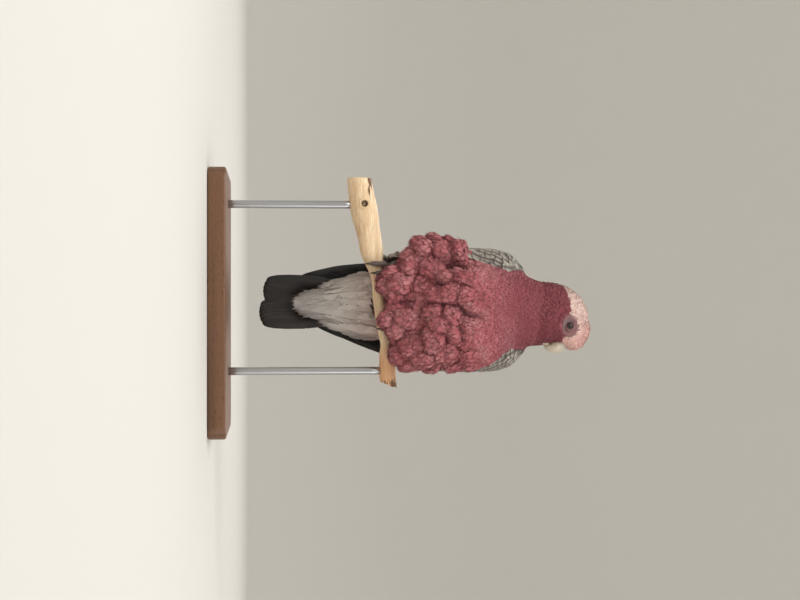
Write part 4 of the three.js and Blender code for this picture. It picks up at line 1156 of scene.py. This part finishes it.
# Glass over a painted iris: a deep brown with fine radial streaks, darkest at its rim, and a hard, wet gloss.
glass_eye, tree = material("glass_eye")
place = node(tree, "ShaderNodeUVMap", uv_map="Iris").outputs[0]
from_middle = node(tree, "ShaderNodeVectorMath", {0: place}, operation="LENGTH").outputs[1]
streaks = node(tree, "ShaderNodeTexNoise", {
    "Vector": place, "Scale": 2.2, "Detail": 4, "Roughness": 0.7}).outputs[0]
rim = node(tree, "ShaderNodeMapRange", {0: from_middle, 1: 3.3, 2: 4.1}).outputs[0]
pupil = node(tree, "ShaderNodeMapRange", {0: from_middle, 1: 2.15, 2: 1.95}).outputs[0]
tone = linear("#1d100c")
for share, code in ((streaks, "#4a2a1e"), (rim, "#120b0a"), (pupil, "#050404")):
    tone = node(tree, "ShaderNodeMix", {0: share, 6: tone, 7: linear(code)}, data_type="RGBA").outputs[2]
surface(tree, Base_Color=tone, Roughness=0.5, IOR=1.4, Coat_Weight=0.35, Coat_Roughness=0.03)

# Bare eyelid skin: mauve-grey and matt, in concentric wrinkles some 1.2 mm apart broken into small warts.
lid_skin, tree = material("lid_skin")
place = node(tree, "ShaderNodeTexCoord").outputs["Object"]
warts = node(tree, "ShaderNodeTexVoronoi", {"Vector": place, "Scale": 1100}).outputs[0]
mottle = node(tree, "ShaderNodeTexNoise", {"Vector": place, "Scale": 500, "Detail": 3}).outputs[0]
wart = node(tree, "ShaderNodeMapRange", {0: warts, 1: 0.25, 2: 0.7, 4: 0.4}).outputs[0]
tone = linear("#7d504f")
for share, code in ((mottle, "#9c7270"), (wart, "#5a3f43")):
    tone = node(tree, "ShaderNodeMix", {0: share, 6: tone, 7: linear(code)}, data_type="RGBA").outputs[2]
relief = node(tree, "ShaderNodeBump", {"Height": warts, "Strength": 0.5, "Distance": 0.0003},
              invert=True).outputs[0]
surface(tree, Base_Color=tone, Roughness=0.7, Normal=relief)

for side, sign in (("right", -1), ("left", 1)):
    centre = np.array([EYE["at"][0], sign * EYE["at"][1], EYE["at"][2]])
    down, turn = np.meshgrid(np.linspace(0.02, math.pi - 0.02, 40),
                             np.linspace(0, 2 * math.pi, 64, endpoint=False), indexing="ij")
    bulge = EYE["radius"] + 0.3 * np.exp(-((down / 0.45) ** 2))
    ball = np.stack([bulge * np.sin(down) * np.cos(turn), sign * bulge * np.cos(down),
                     bulge * np.sin(down) * np.sin(turn)], -1)
    eyeball = tube_mesh("eyeball", from_head(ball + centre))
    flat = in_head(points_of(eyeball)) - centre
    place_map(eyeball, "Iris", np.where(sign * flat[:, 1:2] > 0, flat[:, [0, 2]], 9.0))
    piece(f"{side}_eyeball", eyeball, glass_eye, "glass_eye", f"{side}_eye")

    turn = np.linspace(0, 2 * math.pi, 96, endpoint=False)
    shares = np.concatenate([[0, 0.01, 0.03, 0.07], np.linspace(0.12, 1, 20)])
    wide = RING["width"] * np.abs(np.cos(turn)) ** 2 + RING["height"] * np.abs(np.sin(turn)) ** 2
    radius = RING["opening"] + (wide - RING["opening"])[None] * shares[:, None]
    x, z = centre[0] - 0.3 + radius * np.cos(turn), centre[2] + 0.2 + radius * np.sin(turn)
    level = np.empty_like(x)
    for j in range(x.shape[0]):
        for i in range(x.shape[1]):
            reach = max(radius[j, i], 6.6) / radius[j, i]
            far = (centre[0] - 0.3 + radius[j, i] * reach * math.cos(turn[i]),
                   centre[2] + 0.2 + radius[j, i] * reach * math.sin(turn[i]))
            start = from_head([far[0], sign * 45, far[1]])
            hit = skin_tree.ray_cast(start, head_turn @ np.array([0, -sign, 0.0]))[0]
            level[j, i] = abs(in_head(np.array(hit))[1]) + 0.75
    from_ball = np.hypot(x - centre[0], z - centre[2])
    lid = EYE["at"][1] + np.sqrt(np.clip(EYE["radius"] ** 2 - from_ball**2, 0, None)) + 0.5
    lid += np.interp(shares, [0, 0.01, 0.03, 0.07, 0.16], [-0.6, -0.15, 0.22, 0.34, 0.1])[:, None]
    on_lid = 1 - smooth_step(radius, 5.2, 7.6)
    height = on_lid * lid + (1 - on_lid) * level
    folds = 2 * math.pi * radius / RING["wrinkle"] + 0.9 * np.sin(3 * turn + sign) + 0.5 * np.sin(7 * turn)
    warts = np.array([[noise.noise(Vector((x[j, i] * 1.1, sign * 7, z[j, i] * 1.1)))
                       for i in range(x.shape[1])] for j in range(x.shape[0])])
    furrowed = smooth_step(shares, 0.1, 0.3) * (1 - 0.5 * smooth_step(shares, 0.8, 1))
    height += (0.2 * np.sin(folds) + 0.28 * warts) * furrowed[:, None]
    top = np.stack([x, sign * height, z], -1)
    bottom = top[::-1] - np.array([0, sign * RING["thick"], 0])
    loop = from_head(np.concatenate([top, bottom]))
    quads = grid_faces(len(turn), len(loop) + 1, True) % (len(loop) * len(turn))
    ring = mesh_of("ring", loop, quads)
    whole = bmesh.new()
    whole.from_mesh(ring)
    bmesh.ops.recalc_face_normals(whole, faces=whole.faces)
    whole.to_mesh(ring)
    whole.free()
    piece(f"{side}_eye_ring", ring, lid_skin, "foot_skin")

# ---- Bill ----
# A short, deep parrot's bill: bone under a sheath of horn. The upper half curves over the lower, with a blunt
# ridge, a notch in its cutting edge and a long hook, and the nostrils open at its base.
# The centre and radius of each half's arc, its first and last angle, and along it a share of its length with
# the depth inside and outside the arc and the half-width.
UPPER = {"x": 17.5, "z": -8, "radius": 12, "from": 88, "to": -36,
         "rings": [[0, 8, 8, 9.2], [0.35, 8, 7.4, 8.8], [0.65, 5.5, 6, 6.4], [0.88, 2.6, 3.6, 3.2],
                   [1, 0.6, 0.8, 0.8]]}
LOWER = {"x": 18, "z": -6, "radius": 10, "from": -110, "to": -26,
         "rings": [[0, 4, 4, 7.8], [0.5, 3.8, 4, 7.4], [0.85, 2.2, 2.6, 5.4], [1, 0.7, 0.8, 2.6]]}


def bill_half(shape, steps, keel, notch):
    """Rings along an arc from the bill's base to its tip, with a keel outside and a notch in the edge."""
    s = np.linspace(0, 1, steps) ** 0.9
    inner, outer, width = stations(shape["rings"], s)
    a = np.radians(shape["from"] + (shape["to"] - shape["from"]) * s)
    away = np.stack([np.cos(a), 0 * a, np.sin(a)], -1)
    turn = np.linspace(0, 2 * math.pi, 56, endpoint=False)
    high = np.sin(turn)
    deep = np.where(high > 0, outer[:, None] * (1 + keel * high**6), inner[:, None])
    bite = notch * np.exp(-(((s - 0.62) / 0.05) ** 2))[:, None] * np.exp(-(((high + 0.25) / 0.3) ** 2))
    side = width[:, None] * np.cos(turn) * (1 - 0.1 * np.clip(high, 0, 1) ** 2 - bite)
    middle = np.array([shape["x"], 0, shape["z"]]) + shape["radius"] * away
    across = side[..., None] * np.array([0, 1.0, 0])
    return middle[:, None] + (deep * high)[..., None] * away[:, None] + across


GROWTH_LINES = 24  # along each half
NOSTRIL = {"at": (22.5, 4.3, 10.6), "radius": 1.1, "depth": 1.5}

# Horn sheath: bone-grey with a yellow cast, a little translucent and softly polished, duller and greyer at
# the base, with growth lines across it about 1.1 mm apart and fine flakes.
bill_horn, tree = material("bill_horn")
place = node(tree, "ShaderNodeTexCoord").outputs["Object"]
# The nostrils are painted near-black: painted shade inside the openings.
along, nostril_shade = (node(tree, "ShaderNodeAttribute", attribute_name=key).outputs["Fac"]
              for key in ("along", "nostril_shade"))
cloud = node(tree, "ShaderNodeTexNoise", {"Vector": place, "Scale": 160, "Detail": 4}).outputs[0]
wave = node(tree, "ShaderNodeMath", {0: cloud, 1: 0.1, 2: along}, operation="MULTIPLY_ADD").outputs[0]
wave = node(tree, "ShaderNodeMath", {0: wave, 1: 2 * math.pi * GROWTH_LINES}, operation="MULTIPLY").outputs[0]
wave = node(tree, "ShaderNodeMath", {0: wave}, operation="SINE").outputs[0]
base = node(tree, "ShaderNodeMapRange", {0: along, 1: 0.45, 2: 0.2, 4: 0.6}).outputs[0]
tone = linear("#a99f8e")
for share, code in ((cloud, "#d8cdb8"), (base, "#9a8f86"), (nostril_shade, "#2b2220")):
    tone = node(tree, "ShaderNodeMix", {0: share, 6: tone, 7: linear(code)}, data_type="RGBA").outputs[2]
relief = node(tree, "ShaderNodeBump", {"Height": wave, "Strength": 0.12, "Distance": 0.0003}).outputs[0]
surface(tree, Base_Color=tone, Roughness=0.42, Normal=relief, Subsurface_Weight=0.12,
        Subsurface_Radius=(1, 0.7, 0.5), Subsurface_Scale=0.001)
for name, shape, keel, notch, node_name in (("bill_upper_half", UPPER, 0.07, 0.14, "upper_bill"),
                                            ("bill_lower_half", LOWER, 0.0, 0.0, "lower_bill")):
    rings = bill_half(shape, 64, keel, notch)
    steps, around = rings.shape[:2]
    nostril = np.zeros((steps, around))
    if shape is UPPER:
        for sign in (-1, 1):
            spot = np.array(NOSTRIL["at"]) * (1, sign, 1)
            nostril += np.exp(-((np.linalg.norm(rings - spot, axis=-1) / NOSTRIL["radius"]) ** 4))
        rings = rings - nostril[..., None] * np.array([0.5, 0, 0.7]) * NOSTRIL["depth"]
    mesh = tube_mesh(name, from_head(rings))
    place_values(mesh, "along", np.repeat(np.linspace(0, 1, steps), around))
    place_values(mesh, "nostril_shade", np.clip(nostril, 0, 1))
    piece(name, mesh, bill_horn, "bill_horn", node_name)

# ---- Grey plumage of the back, shoulders and wings ----
# Firmer contour feathers than the breast's, in rows that grow from 12 mm at the wing's bend to 30 mm over the
# flight feathers. Each is grey with a darker middle and a worn, paler fringe.
GREY = plume_pattern(
    (0, 0.25, 0.5, 0.75, 0.92),
    fringed(0.64, ((0, 0.16), (0.22, 0.62), (0.45, 0.94)), (0, 30, 58, 76), 0.36, 0.97),
    (0, 1, 2, 4, 7), 1.02)


def grey_feather(name, deep, full, fringe, stripe, stripe_share, fringe_share=0.8):
    """Grey keratin: a dark shaft stripe, a pale fringe wherever the vane ends, and barbs 0.55 mm apart."""
    made, tree, tone, ripple, lot, along, across, place = feather_finish(name, deep, full, full, fringe, 0.25)
    out = node(tree, "ShaderNodeMath", {0: across}, operation="ABSOLUTE").outputs[0]
    vane = node(tree, "ShaderNodeUVMap", uv_map="Vane").outputs[0]
    drawn_out = node(tree, "ShaderNodeVectorMath", {0: vane, 1: (1.0, 0.12, 1)},
                     operation="MULTIPLY").outputs[0]
    flow = node(tree, "ShaderNodeTexNoise", {"Vector": drawn_out, "Scale": 1.6, "Detail": 3}).outputs[0]
    middle = node(tree, "ShaderNodeMath", {0: flow, 1: -0.35, 2: out}, operation="MULTIPLY_ADD").outputs[0]
    middle = node(tree, "ShaderNodeMapRange", {0: middle, 1: 0.22, 2: -0.12, 4: stripe_share}).outputs[0]
    end = node(tree, "ShaderNodeMath", {0: out, 1: 0.62}, operation="MULTIPLY").outputs[0]
    end = node(tree, "ShaderNodeMath", {0: along, 1: 0.45, 2: end}, operation="MULTIPLY_ADD").outputs[0]
    end = node(tree, "ShaderNodeMapRange", {0: end, 1: 0.5, 2: 0.95, 4: fringe_share}).outputs[0]
    for share, code in ((middle, stripe), (end, fringe)):
        tone = node(tree, "ShaderNodeMix", {0: share, 6: tone, 7: linear(code)}, data_type="RGBA").outputs[2]
    feather_surface(tree, tone, ripple, lot, (0.88, 1.08), (0.3, 0.00012), 0.72, Sheen_Weight=0.08)
    return made


covert_finish = grey_feather("grey_feather", "#544e49", "#8b8279", "#b5ada2", "#403934", 0.9)
mantle_finish = grey_feather("mantle_feather", "#6b6661", "#a19991", "#bfb8af", "#847d76", 0.4)

COVERTS_BENT_BELOW = (18, 42)  # the heights between which the feathers leave the skin and run straight on
bands = [  # part, lowest and highest height over the branch, spacing, length, width and rise
    ("mantle_plumage", 2, 60, 170, 5.0, 17, 12, 2.3), ("rump_plumage", 2, 12, 60, 5.6, 25, 14, 2.4),
    ("lesser_coverts", 3, 112, 170, 4.6, 12, 9.5, 1.7), ("median_coverts", 3, 74, 112, 6.4, 21, 13, 2.0),
    ("greater_coverts", 3, 24, 74, 7.6, 30, 15, 2.2)]
for n, (name, kind, low, high, spacing, length, width, rise) in enumerate(bands):
    height = face_middle[:, 2] - FLOOR
    for side in ("right", "left"):
        from_middle = face_middle[:, 0] - TRUNK_X
        own = (face_part == 2) & (round_body >= 27) & ~belly_floor & ((from_middle < 0) == (side == "right"))
        own = own & ((height > 34) | (np.abs(from_middle) < 22))
        if kind == 3:
            own = face_part == (3 if side == "right" else 4)
            own = own & ((height > 38) | (round_body < 8))
        faces = np.flatnonzero(own & (height >= low) & (height < high) & (face_outwards[:, 2] > -0.5))
        roots, faces = scatter(faces, spacing, 30 + n)
        normals = face_outwards[faces]
        dice = np.random.default_rng(40 + n)
        lengths = length * dice.uniform(0.9, 1.1, len(roots))
        widths = width * dice.uniform(0.92, 1.08, len(roots))
        straight = 0.12 + 0.83 * (1 - smooth_step(roots[:, 2] - FLOOR, *COVERTS_BENT_BELOW))
        rises = rise * dice.uniform(0.85, 1.15, len(roots))
        paths, ups = grow(roots, normals, lengths, rises, straight, 0.05, 50 + n)
        kept = clear_of(paths[:, 1:], [branch_tree, *leg_trees], 0.8)
        roots, paths, ups, lengths, widths = (v[kept] for v in (roots, paths, ups, lengths, widths))
        shape = vanes(paths, ups, widths, GREY, camber=0.2, thick=0.25, roll=0.03, ragged=0.012, seed=60 + n)
        mesh = coat_mesh(f"{side}_{name}", roots, shape, GREY, lengths, widths, 70 + n)
        piece(f"{side}_{name}", mesh, covert_finish if kind == 3 else mantle_finish, "grey_plumage")

# ---- Flight feathers of the wings ----
# Stiff vanes on a strong shaft: seven primaries a side, stepped towards the tip, under nine secondaries whose
# ends step up the wing's back edge. Dark slate, and paler along the outer edge of each vane.
FLIGHT = plume_pattern(
    (0, 0.15, 0.3, 0.45, 0.6, 0.75, 0.88, 0.96),
    ((0, 0.3), (0.1, 0.7), (0.25, 0.92), (0.4, 1), (0.55, 1), (0.655, 0.99), (0.66, 0.9), (0.675, 0.98),
     (0.8, 0.9), (0.88, 0.74), (0.94, 0.54), (0.98, 0.3)),
    (0, 1, 2, 3, 4, 7, 8, 10), 1.0)
SHAFT_POINTS = 15
WINGS = {  # height, x, y, the half-width and half-depth, and the front and back angle
    "right": [(-79, 0, 62, 30.5, 12, 4, 44), (-64, 0, 54, 32.3, 13, 0, 64), (-50, 0, 46, 35.3, 15, -4, 74),
              (-35, 0, 37, 38.4, 20, -2, 74), (-16, 0, 26, 40.5, 28, 4, 76), (0, 2, 14, 45, 40, 3, 80),
              (30, 4, 7, 53, 45, -8, 80), (60, 6, 3, 56.5, 47, -28, 76), (95, 7, 1, 59, 46, -40, 68)],
    "left": [(-70, 0, 64, 21, 12, 4, 44), (-56, 0, 56, 26.5, 14, 0, 66), (-43, 0, 46, 32.4, 17, -4, 74),
             (-28, 0, 35, 38, 22, 0, 74), (-16, 0, 27, 44, 28, 4, 76), (0, 2, 14, 48.5, 40, 3, 80),
             (30, 4, 7, 57, 45, -8, 80), (60, 6, 3, 60, 47, -28, 76), (95, 7, 1, 60, 46, -40, 68)]}


def wing_place(side, height, share):
    """The wing's middle surface at a height, a share of the way from its front edge to its back edge."""
    sign = 1 if side == "left" else -1
    x, y, wide, deep, front, back = stations(WINGS[side], height)
    a = np.radians(front + (back - front) * share)
    spot = np.stack([x + sign * wide * np.cos(a), y + deep * np.sin(a), height + FLOOR], -1)
    return spot, unit(np.stack([sign * np.cos(a) / wide, np.sin(a) / deep, 0 * a], -1))


def wing_arc(side, height):
    """How far it is round the wing from its front edge to its back edge at each height."""
    spots = np.stack([wing_place(side, height, np.full(len(height), share))[0]
                      for share in np.linspace(0, 1, 12)])
    return np.linalg.norm(np.diff(spots, axis=0), axis=-1).sum(0)


primary_finish = grey_feather("primary_feather", "#232323", "#2f2e2f", "#4b4a49", "#202020", 0.5, 0.15)
secondary_finish = grey_feather("secondary_feather", "#5a5652", "#78726c", "#a19a91", "#514c48", 0.6, 0.5)
PRIMARIES = {"count": 7, "root": 14, "inner_tip": -42, "width": 13}
SECONDARIES = {"count": 9, "root": 62, "tip": -10, "width": 16}
for n, side in enumerate(WINGS):
    last = WINGS[side][0][0]
    # Each feather's root and tip height, width, share of the way round the wing, and lift at root and tip.
    sets = {"primary_feathers": [], "secondary_feathers": []}
    for k in range(PRIMARIES["count"]):
        share, lift = k / (PRIMARIES["count"] - 1), 0.2 + 0.3 * k
        tip = last + 1.0 + (PRIMARIES["inner_tip"] - last) * share**1.15
        sets["primary_feathers"].append((PRIMARIES["root"], tip, PRIMARIES["width"], share, lift, lift))
    for k in range(SECONDARIES["count"]):
        share = 0.12 + 0.86 * k / (SECONDARIES["count"] - 1)
        root, tip = SECONDARIES["root"] + 1.5 * k, SECONDARIES["tip"] + 3.2 * k
        lifts = -1.5 + 0.1 * k, 1.0 + 0.3 * k
        sets["secondary_feathers"].append((root, tip, SECONDARIES["width"], share, *lifts))
    for name, rows in sets.items():
        paths, ups, widths = [], [], []
        for root, tip, width, share, lift, end_lift in rows:
            heights = np.linspace(root, tip, SHAFT_POINTS)
            arc = wing_arc(side, heights)
            half = np.minimum(width / 2, arc * 0.45)
            share = (half + share * (arc - 2 * half)) / arc
            spot, up = wing_place(side, heights, share)
            paths.append(spot + up * np.linspace(lift, end_lift, SHAFT_POINTS)[:, None])
            ups.append(up)
            widths.append(width)
        paths, ups, widths = np.array(paths), np.array(ups), np.array(widths, float)
        lengths = np.linalg.norm(np.diff(paths, axis=1), axis=-1).sum(1)
        points, _ = vanes(paths, ups, widths, FLIGHT, camber=0.12, thick=0.5, roll=0, ragged=0)
        mesh = coat_mesh(f"{side}_{name}", paths[:, 0], (points, None), FLIGHT, lengths, widths, 82 + n)
        if name == "primary_feathers":
            piece(f"{side}_{name}", mesh, primary_finish, "flight_feathers", f"{side}_primaries")
        else:
            piece(f"{side}_{name}", mesh, secondary_finish, "flight_feathers")

# ---- Tail ----
# Twelve broad, round-ended feathers in two stacks with a shallow notch between: the middle pair lies over the
# others at the back, and each pair under it starts a little farther out.
TAIL = {"pairs": 6, "root": (0, 28, 19 + FLOOR), "slant": math.radians(20), "length": 154, "inside": 1.2,
        "lean": -1.5, "right_shorter": 4.5, "feather": 15.2}
down = np.array([0, math.sin(TAIL["slant"]), -math.cos(TAIL["slant"])])
behind = np.array([0, math.cos(TAIL["slant"]), math.sin(TAIL["slant"])])
sideways = np.array([1.0, 0, 0])
BROAD = plume_pattern(
    (0, 0.15, 0.3, 0.45, 0.6, 0.75, 0.88, 0.965),
    ((0, 0.3), (0.15, 0.6), (0.35, 0.8), (0.55, 0.94), (0.645, 0.98), (0.65, 0.9), (0.665, 0.99), (0.8, 1),
     (0.9, 0.93), (0.95, 0.78), (0.98, 0.56), (0.995, 0.3)),
    (0, 1, 2, 3, 4, 6, 8, 9), 1.0)
tail_finish = grey_feather("tail_feather", "#2b2a2a", "#353537", "#565452", "#262527", 0.5, 0.2)
paths, ups, widths = [], [], []
for k in range(TAIL["pairs"]):
    for sign in (-1, 1):
        outer = k / (TAIL["pairs"] - 1)
        length = TAIL["length"] - TAIL["inside"] - 6.5 * outer**2.4 - 2.5 * (1 - outer) ** 2
        length -= TAIL["right_shorter"] if sign < 0 else 0
        along = np.linspace(4, length, SHAFT_POINTS)
        t = sign * (0.16 + 0.84 * outer)
        x = t * (9.7 + 12 * smooth_step(along, 0, 110))
        lift = 1.35 - 0.5 * k - 5 * (x / 29) ** 2 * (0.5 + 0.5 * along / TAIL["length"])
        lift += (1.4 if sign > 0 else 1.2) * (1 - smooth_step(along, 0, 120)) * (1 - 2 * outer)
        x = x + TAIL["lean"] * along / TAIL["length"]
        path = np.array(TAIL["root"]) + along[:, None] * down + lift[:, None] * behind
        paths.append(path + x[:, None] * sideways)
        ups.append(np.tile(unit(behind + 0.3 * t * sideways), (SHAFT_POINTS, 1)))
        widths.append(TAIL["feather"])
paths, ups, widths = np.array(paths), np.array(ups), np.array(widths)
lengths = np.linalg.norm(np.diff(paths, axis=1), axis=-1).sum(1)
points, _ = vanes(paths, ups, widths, BROAD, camber=0.1, thick=0.6, roll=0, ragged=0)
mesh = coat_mesh("tail_feathers", paths[:, 0], (points, None), BROAD, lengths, widths, 91)
piece("tail_feathers", mesh, tail_finish, "flight_feathers", "tail")

# ---- Coverts under the tail ----
# Long, soft, pale grey feathers that hide the tail's root from the front: a long middle lobe between two
# shorter ones, pinker where they leave the belly, each with a fine dark shaft.
COVERTS = {"root": (3.5, 19, 12 + FLOOR), "middle": 108.5, "side": 86, "wide": 34, "narrow": 21,
           "feather": 15, "reach": 66, "rows": (38, 58, 76, 93, 107.5), "columns": 7}
SOFT = plume_pattern(
    (0, 0.15, 0.3, 0.45, 0.6, 0.75, 0.9),
    fringed(0.74, ((0, 0.16), (0.12, 0.5), (0.3, 0.8), (0.48, 0.95), (0.54, 0.84), (0.6, 1)),
            (0, 30, 58, 76), 0.26, 0.86),
    (0, 1, 2, 3, 5, 6, 10), 1.01, rim_barbs(7, 0.76, 0.14, (0.2, 0.7)))
undertail_finish, tree, tone, ripple, lot, along, across, place = feather_finish(
    "undertail_feather", "#a8a19a", "#cfcac4", "#d6d2cd", "#dcd8d3", 0.5)
out = node(tree, "ShaderNodeMath", {0: across}, operation="ABSOLUTE").outputs[0]
above = node(tree, "ShaderNodeSeparateXYZ", {0: place}).outputs[2]
for value, start, end, most, code in (  # the dark shaft, the pink by the belly, and painted shade lower down, darker and bluer
        (out, 0.09, 0.02, 0.55, "#4a443f"), (above, 0.13, 0.175, 0.55, "#c49c93"),
        (above, 0.13, 0.085, 0.45, "#96989b")):
    share = node(tree, "ShaderNodeMapRange", {0: value, 1: start, 2: end, 4: most}).outputs[0]
    tone = node(tree, "ShaderNodeMix", {0: share, 6: tone, 7: linear(code)}, data_type="RGBA").outputs[2]
feather_surface(tree, tone, ripple, lot, (0.86, 1.08), (0.35, 0.00015), 0.8, Sheen_Weight=0.15)

dice = np.random.default_rng(95)
for face in (-1, 1):  # the front of the coverts, then the side towards the tail
    paths, ups, widths = [], [], []
    for row, tip in enumerate(COVERTS["rows"]):
        for column in range(COVERTS["columns"]):
            t = 2 * column / (COVERTS["columns"] - 1) - 1
            outer = abs(t) > 0.9
            end = tip * COVERTS["side"] / COVERTS["middle"] if outer else tip
            end -= 5 * (abs(t) > 0.5) * (tip > 90)
            end += dice.uniform(-4, 0.5) * (tip < 100)
            along = np.linspace(max(end - COVERTS["reach"], 2), end, SHAFT_POINTS)
            half = COVERTS["wide"] - (COVERTS["wide"] - COVERTS["narrow"]) * smooth_step(along, 20, 92)
            x = (t + 0.05 * dice.normal() * (tip < 100)) * (half - 6.5) * (1 if outer else 0.84)
            x -= 3 * along / COVERTS["middle"]
            lift = 2 * t**2 * (1 - along / 130) + 0.05 * along
            thick = 9 - 6.5 * smooth_step(along, 0, 95)
            lift += face * (thick / 2 * (1 - 0.5 * abs(t) ** 4) - 0.25 * row)
            path = np.array(COVERTS["root"]) + along[:, None] * down + lift[:, None] * behind
            paths.append(path + x[:, None] * sideways)
            ups.append(np.tile(unit(face * behind + 0.45 * t * sideways), (SHAFT_POINTS, 1)))
            widths.append(COVERTS["feather"])
    paths, ups, widths = np.array(paths), np.array(ups), np.array(widths)
    lengths = np.linalg.norm(np.diff(paths, axis=1), axis=-1).sum(1)
    kept = clear_of(paths, [branch_tree], 0.6)
    paths, ups, widths, lengths = (v[kept] for v in (paths, ups, widths, lengths))
    points, soft = vanes(paths, ups, widths, SOFT, camber=0.1, thick=0.3, roll=0.02, ragged=0.012, seed=96)
    name = "undertail_front" if face < 0 else "undertail_back"
    mesh = coat_mesh(name, paths[:, 0], (points, soft if face < 0 else None), SOFT, lengths, widths, 97)
    if face < 0:
        piece(name, mesh, undertail_finish, "undertail_plumage", "undertail_coverts")
    else:
        piece(name, mesh, undertail_finish, "undertail_plumage")

# ---- Studio ----
# A round pale floor whose rim curves up into a wall, and three soft lamps. The camera stands before the bird
# at the height of its breast and is turned on its side.
STUDIO = {"floor": 2.4, "curve": 0.8, "wall": 2.6}
paper, tree = material("pale_paper")
surface(tree, Base_Color=linear("#d2cfc9"), Roughness=0.9)
profile = [(r, 0.0) for r in (0.4, 1.0, 1.7, STUDIO["floor"])]
profile += [(STUDIO["floor"] + STUDIO["curve"] * math.sin(a), STUDIO["curve"] * (1 - math.cos(a)))
            for a in np.linspace(0.1, math.pi / 2, 14)]
profile += [(STUDIO["floor"] + STUDIO["curve"], STUDIO["wall"])]
turn = np.linspace(0, 2 * math.pi, 72, endpoint=False)
points = [(r * math.cos(a), r * math.sin(a), z) for r, z in profile for a in turn]
rings = grid_faces(len(turn), len(profile), True).tolist()
round_room = bpy.data.meshes.new("round_room")
round_room.from_pydata(points, [], [list(reversed(range(len(turn))))] + rings)
round_room.shade_smooth()
round_room.materials.append(paper)
backdrop = bpy.data.objects.new("backdrop", round_room)
bpy.context.scene.collection.objects.link(backdrop)


def lamp(name, place, size, power):
    light = bpy.data.lights.new(name, "AREA")
    light.shape, light.size, light.energy = "SQUARE", size, power
    made = bpy.data.objects.new(name, light)
    made.location = place
    made.rotation_euler = (Vector((0, 0, 0.2)) - Vector(place)).to_track_quat("-Z", "Y").to_euler()
    made.visible_camera = False
    bpy.context.scene.collection.objects.link(made)


lamp("key", (-0.9, -1.3, 1.5), 1.2, 24)
lamp("fill", (1.3, -1.0, 0.7), 1.2, 8)
lamp("back_light", (0, 1.2, 1.8), 1.4, 16)
world = bpy.data.worlds.new("studio")
world.use_nodes = True
world.node_tree.nodes["Background"].inputs["Color"].default_value = linear("#e6e4e0")
world.node_tree.nodes["Background"].inputs["Strength"].default_value = 1.0
bpy.context.scene.world = world
bpy.context.scene.view_settings.view_transform = "Standard"

CAMERA = {"lens": 66.1, "sensor": 36, "tilt": 5, "distance": 1.5, "aim": (-0.003, 0, 0.1919)}
camera = bpy.data.cameras.new("camera")
camera.lens, camera.sensor_width = CAMERA["lens"], CAMERA["sensor"]
looking = bpy.data.objects.new("camera", camera)
tilt = math.radians(CAMERA["tilt"])
right, up = Vector((0, -math.sin(tilt), math.cos(tilt))), Vector((-1, 0, 0))
back = right.cross(up)
looking.matrix_world = Matrix((right, up, back)).transposed().to_4x4()
looking.location = Vector(CAMERA["aim"]) + back * CAMERA["distance"]
bpy.context.scene.collection.objects.link(looking)
bpy.context.scene.camera = looking
